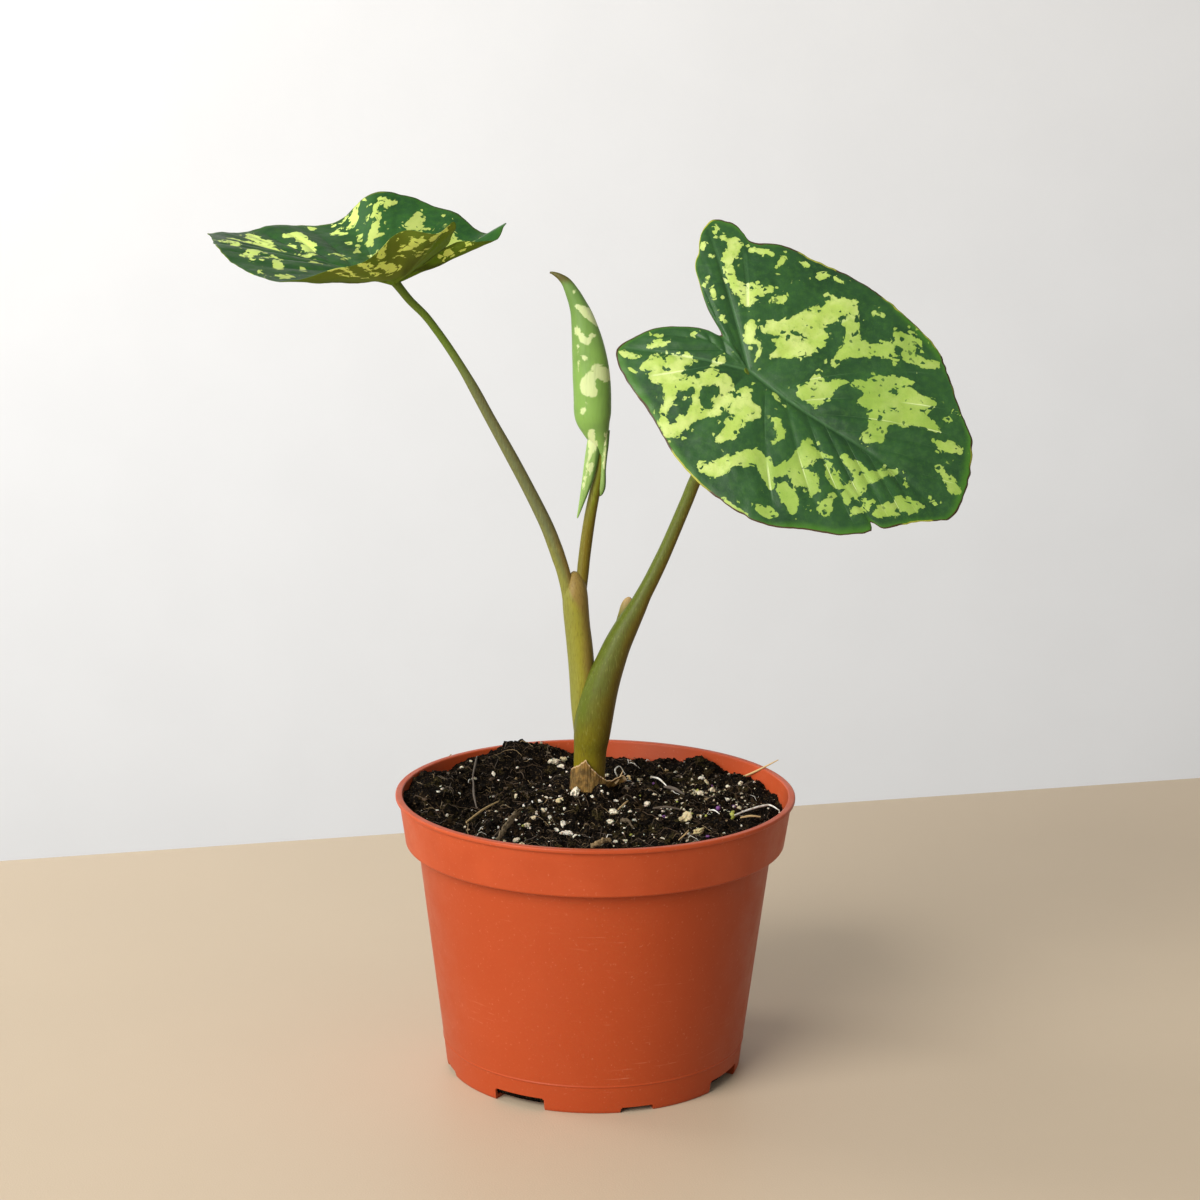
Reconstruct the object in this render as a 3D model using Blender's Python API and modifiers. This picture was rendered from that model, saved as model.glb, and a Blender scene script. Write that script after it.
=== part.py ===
"""Potted alocasia: two open mottled leaves and one rolled leaf on sheathing stems, in a moulded nursery pot.

Metres, +Z up. The origin is the centre of the pot's underside, and the plant's front faces -Y.
"""

import math

import bmesh
import bpy
from mathutils import Matrix, Vector, noise

MM = 0.001
CLEARANCE = 0.35 * MM

# Nursery pot, 160 mm across the lip, moulded with one thin wall
POT_HEIGHT = 112.9 * MM
LIP_RADIUS = 80.0 * MM
LIP_HEIGHT = 1.7 * MM
BAND_TOP_RADIUS = 78.7 * MM
BAND_FOOT_RADIUS = 75.9 * MM
BAND_FOOT_Z = 92.9 * MM
LEDGE_RISE = 1.2 * MM
BODY_TOP_RADIUS = 71.2 * MM
BASE_RADIUS = 59.8 * MM
FOOT_EDGE = 1.0 * MM
WALL = 1.4 * MM
FLOOR = 1.6 * MM
POT_STEPS = 80

# Drainage notches round the foot: azimuth of the first from the front, width, height
NOTCH_DEPTH = 7.5 * MM
NOTCH_PITCH = math.radians(90)
LARGE_NOTCH = (math.radians(-28.8), 22 * MM, 5.0 * MM)
SMALL_NOTCH = (math.radians(17), 13.5 * MM, 2.2 * MM)

# Potting soil, a root ball that fills the pot to a few millimetres under the lip
SOIL_LEVEL = 106.2 * MM
SOIL_SIDES = 60
SOIL_RINGS = 13
# Mounds and hollows of the surface: x, y, height, spread
SOIL_MOUNDS = (
    (-2.6 * MM, 15 * MM, 4.2 * MM, 20 * MM),
    (-28 * MM, 60 * MM, 5.6 * MM, 22 * MM),
    (-55 * MM, 20 * MM, 2.0 * MM, 22 * MM),
    (40 * MM, 52 * MM, -0.8 * MM, 26 * MM),
    (66 * MM, 4 * MM, -2.6 * MM, 16 * MM),
)
# Clods: size of the lumps and how far they stand up or sink
SOIL_CLODS = ((13 * MM, 1.5 * MM), (5.5 * MM, 1.0 * MM))

# Stem base: its axis, and the corm it grows from, as radii down its length
STEM_X = -2.6 * MM
STEM_Y = 15.0 * MM
CORM_TOP = 98.4 * MM
CORM_PROFILE = (
    (6.2 * MM, 0.0),
    (7.0 * MM, 4 * MM),
    (9.6 * MM, 9 * MM),
    (10.6 * MM, 15 * MM),
    (9.4 * MM, 22 * MM),
    (5.5 * MM, 27 * MM),
)

# Papery sheath round the stem base: rim height above its foot by azimuth from the front
PAPER_FOOT = 103.2 * MM
PAPER_RADIUS = 7.5 * MM
PAPER_FLARE = 0.3 * MM
PAPER_THICKNESS = 0.6 * MM
PAPER_RIM = (
    (-150, 9.0), (-100, 11.5), (-55, 13.0), (-22, 15.5), (0, 18.3), (18, 14.5),
    (45, 11.0), (75, 9.5), (100, 11.0), (125, 7.5), (165, 7.0),
)

# Stems as x, y, z and radius along their centre lines, all in millimetres
STEM_SIDES = 12
RIGHT_STEM = (
    (-2.6, 15.0, 99.0, 6.3), (-2.6, 15.0, 112.0, 6.4), (-2.5, 15.0, 124.8, 6.4),
    (-1.9, 14.0, 132.5, 7.1), (-1.0, 13.5, 140.1, 7.4), (0.5, 13.0, 147.6, 7.1),
    (2.6, 12.7, 155.2, 6.5), (5.2, 12.5, 162.6, 5.8), (8.0, 12.8, 169.9, 5.2),
    (11.4, 13.5, 177.2, 4.5), (15.4, 14.5, 184.3, 3.4), (18.4, 15.2, 190.0, 2.6),
    (21.6, 15.8, 195.4, 2.4), (25.2, 16.4, 203.2, 2.4), (28.6, 17.0, 211.4, 2.35),
    (35.2, 17.0, 228.0, 2.25), (38.5, 16.4, 236.7, 2.2), (44.9, 14.0, 251.1, 2.1),
    (51.9, 10.0, 267.6, 2.0), (57.0, 5.6, 279.6, 1.9), (59.4, 3.0, 285.0, 1.9),
)
LEFT_STEM = (
    (-3.8, 15.4, 122.0, 3.9), (-4.5, 15.4, 131.0, 4.2), (-5.3, 15.5, 139.7, 4.45),
    (-5.7, 16.0, 147.1, 4.65), (-6.0, 16.3, 154.5, 4.75), (-6.4, 16.5, 161.5, 4.9),
    (-7.1, 16.5, 168.9, 4.9), (-8.0, 16.5, 176.4, 4.8), (-8.7, 16.5, 183.6, 5.0),
    (-9.3, 16.5, 191.0, 5.4), (-10.2, 16.5, 195.8, 4.9), (-12.2, 16.5, 199.0, 3.7),
    (-14.2, 16.5, 202.4, 2.8), (-16.5, 16.5, 209.3, 2.6), (-20.4, 16.5, 218.6, 2.5),
    (-27.3, 16.5, 232.5, 2.3), (-34.7, 16.0, 246.3, 2.25), (-42.6, 15.5, 260.1, 2.1),
    (-48.7, 15.0, 271.5, 2.0), (-53.6, 14.5, 280.1, 1.7), (-58.7, 14.0, 288.2, 1.6),
    (-63.5, 13.3, 295.2, 1.55), (-68.3, 12.6, 301.5, 1.55), (-73.5, 11.5, 307.5, 1.55),
    (-78.5, 10.3, 313.8, 1.5), (-81.0, 9.7, 317.0, 1.5),
)
NEW_STEM = (
    (-6.6, 17.2, 170.8, 1.8), (-6.6, 17.6, 183.0, 2.0), (-6.3, 18.0, 191.0, 2.1),
    (-5.8, 18.3, 198.8, 2.1), (-5.3, 18.3, 204.4, 2.1), (-4.2, 18.0, 213.8, 2.15),
    (-2.8, 17.6, 223.3, 2.1), (-0.9, 17.0, 233.4, 2.0), (0.6, 16.5, 240.6, 1.8),
    (1.4, 16.0, 249.5, 1.5),
)
# Free tip of the right stem's sheath: centre and half sizes
SHEATH_TIP = (11.6 * MM, 17.0 * MM, 184.5 * MM)
SHEATH_TIP_SIZE = (2.4 * MM, 1.6 * MM, 5.2 * MM)

# Open blades: thickness, and the rings of the mesh as shares of the way to the margin
BLADE_THICKNESS = 0.7 * MM
BLADE_RINGS = (0.14, 0.3, 0.46, 0.62, 0.76, 0.88, 1.0)
BLADE_SIDES = 76
CHANNEL_DEPTH = 1.0
CHANNEL_WIDTH = 4.5

# Blades: where the stem meets them, and the midrib's heading, climb and roll in degrees
RIGHT_NAVEL = (58.3 * MM, 4.0 * MM, 282.2 * MM)
RIGHT_POSE = (-17.7, -31.7, 51.5)
RIGHT_RISE_POWER = 1.8
RIGHT_CROWN = 1.6
LEFT_NAVEL = (-78.5 * MM, 10.0 * MM, 315.0 * MM)
LEFT_POSE = (160.0, 11.0, -6.0)
LEFT_RISE_POWER = 1.7
LEFT_CROWN = 0.0
# Margins: angle from the midrib in degrees, distance from the navel and lift in millimetres
RIGHT_MARGIN = (
    (0, 97, -6.5), (6, 96.5, -5.5), (11, 95, -4.5), (19, 91.5, -3), (23, 87.5, -2), (29, 82.5, -1.5),
    (37, 79, -1), (47, 75, -1), (65, 65.5, -1), (84, 59, -1), (96, 56.5, -1), (109, 57.5, -1),
    (119, 56.5, -1), (124, 57, -1.5), (127, 61, -2), (130, 65.5, -3), (135, 68.5, -4), (138, 68, -4),
    (142, 63.5, -3.5), (146, 56, -2.5), (150, 50, -2), (152, 44, -1.5), (157, 31, -0.5), (162, 18, 0),
    (170, 23.5, -0.5), (178, 29.5, -1), (188, 38.5, -2), (197, 45.5, -3), (204, 51, -4), (208, 52, -4),
    (216, 50, -3), (230, 45.5, -2), (242, 43.5, -1), (257, 44.5, -1), (269, 47.5, -1), (282, 51.5, -1),
    (294, 56, -1), (305, 62, -1), (314, 65.5, -1.5), (323, 68.5, -1.5), (334, 76, -2), (345, 82, -3),
    (353, 88, -4),
)
LEFT_MARGIN = (
    (0, 83.5, 0), (11, 78, 3), (23, 72.5, 4), (35, 66, 3), (49, 59.5, 1.5), (60, 55, 2), (71, 51.5, 6),
    (83, 48.5, 11), (95, 46, 16), (103, 45, 22), (108, 45, 28), (116, 46, 31), (128, 48.5, 33),
    (134, 51, 38), (139, 49, 33), (146, 41, 25), (153, 30, 18), (160, 21, 13), (180, 14, 9),
    (200, 20, 13), (207, 29, 16), (215, 37, 20), (221, 42, 24.5), (225, 43.5, 26), (236, 44, 20.5),
    (245, 44.5, 17.5), (253, 44.5, 16), (266, 46, 19.5), (279, 48.5, 19.5), (291, 52, 22),
    (302, 56, 21.5), (307, 57.5, 20), (311, 59.5, 18), (314, 61, 13), (317, 62.5, 8), (323, 65, 4.5),
    (331, 69, 3), (340, 74, 2), (349, 79, -0.5),
)

# Rolled blade: centre line x, y, z, then half width and half depth, in millimetres
ROLL_SIDES = 18
ROLL_STEP = 0.14
ROLL_EDGE = math.radians(150)
ROLL = (
    (-19.6, 14.0, 320.3, 0.35, 0.35), (-17.8, 14.0, 318.9, 0.8, 0.7), (-14.9, 14.0, 316.2, 1.5, 1.2),
    (-11.9, 14.4, 312.0, 2.4, 2.0), (-9.2, 14.8, 307.4, 3.3, 2.9), (-6.9, 15.1, 300.8, 4.7, 4.0),
    (-4.7, 15.5, 291.0, 6.3, 5.3), (-3.2, 15.8, 281.5, 7.4, 6.2), (-2.1, 16.0, 271.5, 7.9, 6.6),
    (-1.7, 16.0, 262.5, 7.6, 6.2), (-0.5, 16.0, 256.0, 6.1, 4.9), (1.1, 15.9, 250.0, 4.1, 3.4),
    (2.2, 15.7, 245.5, 2.6, 2.0),
)
# Basal lobes of the rolled blade, folded down beside its stem
ROLL_LOBES = (
    (
        (-1.2, 15.0, 257.0, 3.0, 1.4), (-3.2, 14.3, 252.6, 2.5, 1.1), (-3.8, 13.9, 245.0, 2.2, 0.9),
        (-4.9, 13.9, 237.4, 2.1, 0.8), (-6.4, 14.1, 228.5, 1.3, 0.6), (-7.9, 14.4, 222.3, 0.4, 0.35),
    ),
    (
        (2.6, 14.6, 249.0, 1.9, 1.1), (3.6, 13.9, 241.5, 1.5, 0.8), (2.9, 13.5, 235.4, 1.6, 0.7),
        (1.6, 13.5, 230.8, 0.8, 0.5),
    ),
)
LOBE_SIDES = 10

POT_COLOUR = (0.56, 0.13, 0.06, 1.0)
SOIL_COLOUR = (0.025, 0.017, 0.013, 1.0)
CORM_COLOUR = (0.20, 0.12, 0.06, 1.0)
PAPER_COLOUR = (0.52, 0.38, 0.20, 1.0)
RIGHT_STEM_COLOUR = (0.12, 0.19, 0.04, 1.0)
LEFT_STEM_COLOUR = (0.28, 0.26, 0.07, 1.0)
NEW_STEM_COLOUR = (0.22, 0.19, 0.03, 1.0)
BLADE_COLOUR = (0.045, 0.13, 0.05, 1.0)
YOUNG_BLADE_COLOUR = (0.21, 0.40, 0.07, 1.0)


def clear_scene():
    for obj in list(bpy.data.objects):
        bpy.data.objects.remove(obj, do_unlink=True)


def new_collection(name):
    collection = bpy.data.collections.new(name)
    bpy.context.scene.collection.children.link(collection)
    return collection


def material(name, colour, roughness):
    made = bpy.data.materials.new(name)
    made.use_nodes = True
    shader = made.node_tree.nodes["Principled BSDF"]
    shader.inputs["Base Color"].default_value = colour
    shader.inputs["Roughness"].default_value = roughness
    shader.inputs["Metallic"].default_value = 0.0
    return made


def link(name, mesh, collection, finish=None):
    obj = bpy.data.objects.new(name, mesh)
    collection.objects.link(obj)
    if finish:
        mesh.materials.append(finish)
    return obj


def link_helper(name, mesh, helpers):
    obj = link(name, mesh, helpers)
    obj.hide_render = True
    obj.display_type = "WIRE"
    return obj


def mesh_of(name, points, faces, sharp_degrees=None):
    mesh = bpy.data.meshes.new(name)
    mesh.from_pydata(points, [], faces)
    if sharp_degrees is not None:
        mesh.shade_smooth()
        mesh.set_sharp_from_angle(angle=math.radians(sharp_degrees))
    return mesh


def boolean(obj, tool, operation):
    modifier = obj.modifiers.new(f"{operation.lower()} {tool.name}", "BOOLEAN")
    modifier.operation = operation
    modifier.solver = "EXACT"
    modifier.object = tool


def turned_mesh(name, profile, steps):
    """The mesh of a profile of (radius, z) turned about the Z axis."""
    points = [(radius, 0.0, z) for radius, z in profile]
    edges = [(i, i + 1) for i in range(len(points) - 1)]
    outline = bpy.data.meshes.new(name + " profile")
    outline.from_pydata(points, edges, [])
    carrier = bpy.data.objects.new(name + " turning", outline)
    bpy.context.scene.collection.objects.link(carrier)
    screw = carrier.modifiers.new("turn", "SCREW")
    screw.steps = steps
    screw.render_steps = steps
    screw.use_merge_vertices = True
    screw.merge_threshold = 1e-5
    mesh = bpy.data.meshes.new_from_object(
        carrier.evaluated_get(bpy.context.evaluated_depsgraph_get())
    )
    bpy.data.objects.remove(carrier, do_unlink=True)
    bpy.data.meshes.remove(outline)
    mesh.name = name
    return mesh


def smooth_run(controls, spans, closed=False):
    """Catmull-Rom points through the controls, with the given number of steps in each span."""
    count = len(controls)
    last = count if closed else count - 1
    run = []
    for i in range(last):
        if closed:
            four = [controls[(i + k) % count] for k in (-1, 0, 1, 2)]
        else:
            four = [controls[min(max(i + k, 0), count - 1)] for k in (-1, 0, 1, 2)]
        for step in range(spans[i]):
            t = step / spans[i]
            run.append(tuple(
                0.5 * (2 * b + (c - a) * t + (2 * a - 5 * b + 4 * c - d) * t * t
                       + (3 * b - a - 3 * c + d) * t * t * t)
                for a, b, c, d in zip(*four)
            ))
    if not closed:
        run.append(tuple(controls[-1]))
    return run


def even_spans(controls, pitch, closed=False):
    """How many steps each span between controls needs, for steps of about one pitch."""
    count = len(controls)
    last = count if closed else count - 1
    lengths = [math.dist(controls[i][:3], controls[(i + 1) % count][:3]) for i in range(last)]
    return [max(1, round(length / pitch)) for length in lengths]


def pot_profile():
    """Half section of the pot, from the middle of its floor up the inside and down the outside."""
    small = 0.5 * MM
    return (
        (0.0, FLOOR),
        (BASE_RADIUS - WALL - small, FLOOR),
        (BASE_RADIUS - WALL + small * 0.2, FLOOR + small),
        (BODY_TOP_RADIUS - WALL, BAND_FOOT_Z + WALL - small),
        (BODY_TOP_RADIUS - WALL + small, BAND_FOOT_Z + WALL),
        (BAND_FOOT_RADIUS - WALL - small, BAND_FOOT_Z + WALL),
        (BAND_FOOT_RADIUS - WALL, BAND_FOOT_Z + WALL + small),
        (BAND_TOP_RADIUS - WALL, POT_HEIGHT - small),
        (BAND_TOP_RADIUS - WALL + small, POT_HEIGHT),
        (LIP_RADIUS - small, POT_HEIGHT),
        (LIP_RADIUS, POT_HEIGHT - small),
        (LIP_RADIUS, POT_HEIGHT - LIP_HEIGHT + small),
        (LIP_RADIUS - small, POT_HEIGHT - LIP_HEIGHT),
        (BAND_TOP_RADIUS, POT_HEIGHT - LIP_HEIGHT - small * 0.6),
        (BAND_FOOT_RADIUS + small * 0.15, BAND_FOOT_Z + small * 2),
        (BAND_FOOT_RADIUS - small, BAND_FOOT_Z + small * 0.4),
        (BAND_FOOT_RADIUS - small * 2, BAND_FOOT_Z),
        (BODY_TOP_RADIUS + small * 2, BAND_FOOT_Z + small * 0.4),
        (BODY_TOP_RADIUS, BAND_FOOT_Z - small),
        (BASE_RADIUS + small * 0.1, FOOT_EDGE),
        (BASE_RADIUS - small * 0.6, 0.0),
        (0.0, 0.0),
    )


def notch_cutter(number, azimuth, width, height, helpers):
    bpy.ops.mesh.primitive_cube_add(size=1.0)
    cutter = bpy.context.active_object
    cutter.name = f"notch {number}"
    for collection in list(cutter.users_collection):
        collection.objects.unlink(cutter)
    helpers.objects.link(cutter)
    outer = BASE_RADIUS + 4 * MM
    inner = BASE_RADIUS - NOTCH_DEPTH
    below = 2 * MM
    middle = (outer + inner) / 2
    turn = Matrix.Rotation(azimuth, 4, "Z")
    shape = Matrix.Diagonal((width, outer - inner, height + below, 1.0))
    shift = Matrix.Translation((0.0, -middle, (height - below) / 2))
    cutter.data.transform(turn @ shift @ shape)
    cutter.hide_render = True
    cutter.display_type = "WIRE"
    return cutter


def make_pot(parts, helpers):
    mesh = turned_mesh("pot", pot_profile(), POT_STEPS)
    mesh.shade_smooth()
    mesh.set_sharp_from_angle(angle=math.radians(35))
    pot = link("pot", mesh, parts, material("terracotta plastic", POT_COLOUR, 0.45))
    number = 0
    for azimuth, width, height in (LARGE_NOTCH, SMALL_NOTCH):
        for quarter in range(4):
            number += 1
            cutter = notch_cutter(number, azimuth + quarter * NOTCH_PITCH, width, height, helpers)
            boolean(pot, cutter, "DIFFERENCE")
    return pot


def soil_height(x, y):
    """Height of the soil's surface: a level with mounds, hollows and clods on it."""
    height = SOIL_LEVEL
    for mound_x, mound_y, rise, spread in SOIL_MOUNDS:
        away = math.hypot(x - mound_x, y - mound_y) / spread
        height += rise * math.exp(-away * away)
    for size, relief in SOIL_CLODS:
        height += relief * noise.noise(Vector((x / size, y / size, size / MM)))
    return height


def soil_wall():
    """Radius and height down the soil's side, one clearance inside the pot's wall."""
    band_foot = BAND_FOOT_Z + WALL + CLEARANCE
    band_slope = (BAND_TOP_RADIUS - BAND_FOOT_RADIUS) / (POT_HEIGHT - BAND_FOOT_Z)
    inner_band = BAND_FOOT_RADIUS - WALL - CLEARANCE * 2
    inner_body = BODY_TOP_RADIUS - WALL - CLEARANCE * 2
    inner_base = BASE_RADIUS - WALL - CLEARANCE * 4
    edge_height = SOIL_LEVEL - 5 * MM
    return (
        (inner_band + band_slope * (edge_height - band_foot), edge_height),
        (inner_band, band_foot),
        (inner_body, band_foot),
        (inner_base, FLOOR + CLEARANCE),
    )


def make_soil(parts, helpers):
    wall = soil_wall()
    edge_radius = wall[0][0] + 0.4 * MM
    points = [(0.0, 0.0, soil_height(0.0, 0.0))]
    for ring in range(1, SOIL_RINGS + 1):
        radius = edge_radius * ring / SOIL_RINGS
        for side in range(SOIL_SIDES):
            turn = math.tau * side / SOIL_SIDES
            x = radius * math.cos(turn)
            y = radius * math.sin(turn)
            points.append((x, y, soil_height(x, y)))
    for radius, z in wall:
        for side in range(SOIL_SIDES):
            turn = math.tau * side / SOIL_SIDES
            points.append((radius * math.cos(turn), radius * math.sin(turn), z))
    points.append((0.0, 0.0, wall[-1][1]))
    faces = [(0, 1 + side, 1 + (side + 1) % SOIL_SIDES) for side in range(SOIL_SIDES)]
    rows = SOIL_RINGS + len(wall)
    for row in range(rows - 1):
        start = 1 + row * SOIL_SIDES
        for side in range(SOIL_SIDES):
            after = (side + 1) % SOIL_SIDES
            a, b = start + side, start + after
            c, d = b + SOIL_SIDES, a + SOIL_SIDES
            faces.append((a, d, c, b))
    bottom = 1 + (rows - 1) * SOIL_SIDES
    centre = len(points) - 1
    faces += [(centre, bottom + (side + 1) % SOIL_SIDES, bottom + side) for side in range(SOIL_SIDES)]
    mesh = mesh_of("potting_soil", points, faces, sharp_degrees=50)
    soil = link("potting_soil", mesh, parts, material("dark potting soil", SOIL_COLOUR, 0.95))
    boolean(soil, soil_hole(helpers), "DIFFERENCE")
    return soil


def soil_hole(helpers):
    """The hole that the corm and the stem base stand in, one clearance wider than they are."""
    mouth = PAPER_RADIUS + PAPER_FLARE + PAPER_THICKNESS / 2 + CLEARANCE
    profile = [(0.0, POT_HEIGHT + 10 * MM), (mouth, POT_HEIGHT + 10 * MM), (mouth, CORM_TOP)]
    for radius, down in CORM_PROFILE[1:]:
        profile.append((max(radius + CLEARANCE, 0.0), CORM_TOP - down - CLEARANCE * 0.5))
    profile.append((0.0, CORM_TOP - CORM_PROFILE[-1][1] - CLEARANCE))
    hole = link_helper("soil hole", turned_mesh("soil hole", profile, 28), helpers)
    hole.location = (STEM_X, STEM_Y, 0.0)
    return hole


def make_corm(parts):
    profile = [(0.0, CORM_TOP)]
    profile += [(radius, CORM_TOP - down) for radius, down in CORM_PROFILE]
    profile.append((0.0, CORM_TOP - CORM_PROFILE[-1][1]))
    mesh = turned_mesh("corm", profile, 24)
    mesh.shade_smooth()
    corm = link("corm", mesh, parts, material("corm skin", CORM_COLOUR, 0.8))
    corm.location = (STEM_X, STEM_Y, 0.0)
    return corm


def make_papery_sheath(parts):
    """A dry open sheath that still stands round the stem base, torn along its rim."""
    controls = [(angle, rise) for angle, rise in PAPER_RIM]
    rim = smooth_run(controls + [(controls[0][0] + 360, controls[0][1])], [3] * len(controls))[:-1]
    rows = 4
    points = []
    for row in range(rows + 1):
        share = row / rows
        for angle, rise in rim:
            turn = math.radians(angle - 90)
            radius = PAPER_RADIUS + PAPER_FLARE * math.sin(share * math.pi)
            points.append((
                STEM_X + radius * math.cos(turn),
                STEM_Y + radius * math.sin(turn),
                PAPER_FOOT + share * rise * MM,
            ))
    sides = len(rim)
    faces = []
    for row in range(rows):
        for side in range(sides):
            a = row * sides + side
            b = row * sides + (side + 1) % sides
            faces.append((a, b, b + sides))
            faces.append((a, b + sides, a + sides))
    mesh = mesh_of("papery_sheath", points, faces, sharp_degrees=60)
    sheath = link("papery_sheath", mesh, parts, material("dry papery sheath", PAPER_COLOUR, 0.8))
    thick = sheath.modifiers.new("thickness", "SOLIDIFY")
    thick.thickness = PAPER_THICKNESS
    thick.offset = 0.0
    return sheath


def stem_mesh(name, controls, grown=0.0):
    """A tube through the controls, with the radius they give, as one closed mesh."""
    run = smooth_run(controls, even_spans(controls, 5.5))
    curve = bpy.data.curves.new(name, "CURVE")
    curve.dimensions = "3D"
    curve.bevel_depth = MM
    curve.bevel_resolution = (STEM_SIDES - 4) // 2
    curve.use_fill_caps = True
    spline = curve.splines.new("POLY")
    spline.points.add(len(run) - 1)
    for point, (x, y, z, radius) in zip(spline.points, run):
        point.co = (x * MM, y * MM, z * MM, 1.0)
        point.radius = radius + grown / MM
    carrier = bpy.data.objects.new(name + " curve", curve)
    bpy.context.scene.collection.objects.link(carrier)
    mesh = bpy.data.meshes.new_from_object(
        carrier.evaluated_get(bpy.context.evaluated_depsgraph_get())
    )
    bpy.data.objects.remove(carrier, do_unlink=True)
    shape = bmesh.new()
    shape.from_mesh(mesh)
    bmesh.ops.remove_doubles(shape, verts=shape.verts, dist=1e-6)
    bmesh.ops.recalc_face_normals(shape, faces=shape.faces)
    shape.to_mesh(mesh)
    shape.free()
    mesh.materials.clear()
    mesh.name = name
    mesh.shade_smooth()
    mesh.set_sharp_from_angle(angle=math.radians(50))
    return mesh


def blade_axes(pose):
    """Midrib, left-hand and upward directions of a blade from its heading, climb and roll."""
    heading, climb, roll = (math.radians(angle) for angle in pose)
    along = Vector((
        math.cos(climb) * math.cos(heading), math.cos(climb) * math.sin(heading), math.sin(climb),
    ))
    level = Vector((0.0, 0.0, 1.0)).cross(along).normalized()
    lifted = along.cross(level)
    across = level * math.cos(roll) + lifted * math.sin(roll)
    return along, across, along.cross(across)


def blade_cutter(name, navel, pose, helpers):
    """A block over the blade's underside at the navel, which ends the stem one clearance below."""
    along, across, up = blade_axes(pose)
    half = 12 * MM
    below = BLADE_THICKNESS / 2 + CLEARANCE
    points = []
    for lift in (-below, half - below):
        for side in (-half, half):
            for length in (-half, half):
                points.append(Vector(navel) + along * length + across * side + up * lift)
    faces = [(0, 2, 3, 1), (4, 5, 7, 6), (0, 1, 5, 4), (2, 6, 7, 3), (0, 4, 6, 2), (1, 3, 7, 5)]
    return link_helper(name, mesh_of(name, points, faces), helpers)


def make_stems(parts, helpers):
    """The stems wrap one another: each is cut where the next younger one stands inside it."""
    right = link(
        "petiole_right", stem_mesh("petiole_right", RIGHT_STEM), parts,
        material("green petiole", RIGHT_STEM_COLOUR, 0.5),
    )
    left = link(
        "petiole_left", stem_mesh("petiole_left", LEFT_STEM), parts,
        material("olive petiole", LEFT_STEM_COLOUR, 0.5),
    )
    new = link(
        "petiole_new", stem_mesh("petiole_new", NEW_STEM), parts,
        material("young petiole", NEW_STEM_COLOUR, 0.45),
    )
    bpy.ops.mesh.primitive_uv_sphere_add(segments=12, ring_count=8, radius=1.0)
    tip = bpy.context.active_object
    tip.name = "sheath tip"
    for collection in list(tip.users_collection):
        collection.objects.unlink(tip)
    helpers.objects.link(tip)
    tilt = Matrix.Rotation(math.radians(22), 4, "Y")
    tip.data.transform(
        Matrix.Translation(SHEATH_TIP) @ tilt @ Matrix.Diagonal((*SHEATH_TIP_SIZE, 1.0))
    )
    tip.hide_render = True
    tip.display_type = "WIRE"
    boolean(right, tip, "UNION")
    left_room = stem_mesh("left stem room", LEFT_STEM, CLEARANCE)
    boolean(right, link_helper("left stem room", left_room, helpers), "DIFFERENCE")
    new_room = stem_mesh("new stem room", NEW_STEM, CLEARANCE)
    boolean(left, link_helper("new stem room", new_room, helpers), "DIFFERENCE")
    boolean(right, blade_cutter("right blade room", RIGHT_NAVEL, RIGHT_POSE, helpers), "DIFFERENCE")
    boolean(left, blade_cutter("left blade room", LEFT_NAVEL, LEFT_POSE, helpers), "DIFFERENCE")
    return right, left, new


def blade_lift(share, edge_lift, across, rise_power, crown):
    """How far a blade stands off its plane: its margin's lift, a crown and the midrib's channel."""
    lift = edge_lift * share**rise_power + crown * 4 * share * (1 - share)
    channel = CHANNEL_DEPTH * min(1.0, share * 5) * math.exp(-((across / CHANNEL_WIDTH) ** 2))
    return lift - channel * (1 - share)


def make_blade(name, navel, pose, margin, rise_power, crown, parts, finish):
    """An open blade: a fan of triangles from the navel to the margin, thickened alike both ways."""
    along, across, up = blade_axes(pose)
    flat = [
        (r * math.cos(math.radians(a)), r * math.sin(math.radians(a)), lift) for a, r, lift in margin
    ]
    pitch = sum(
        math.dist(flat[i], flat[i - 1]) for i in range(len(flat))
    ) / BLADE_SIDES
    edge = smooth_run(flat, even_spans(flat, pitch, closed=True), closed=True)
    points = [Vector(navel)]
    for share in BLADE_RINGS:
        for a, b, edge_lift in edge:
            lift = blade_lift(share, edge_lift, b * share, rise_power, crown)
            points.append(
                Vector(navel) + (along * a * share + across * b * share + up * lift) * MM
            )
    sides = len(edge)
    faces = [(0, 1 + side, 1 + (side + 1) % sides) for side in range(sides)]
    for ring in range(len(BLADE_RINGS) - 1):
        for side in range(sides):
            a = 1 + ring * sides + side
            b = 1 + ring * sides + (side + 1) % sides
            faces.append((a, a + sides, b + sides))
            faces.append((a, b + sides, b))
    blade = link(name, mesh_of(name, points, faces, sharp_degrees=60), parts, finish)
    thick = blade.modifiers.new("thickness", "SOLIDIFY")
    thick.thickness = BLADE_THICKNESS
    thick.offset = 0.0
    return blade


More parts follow.
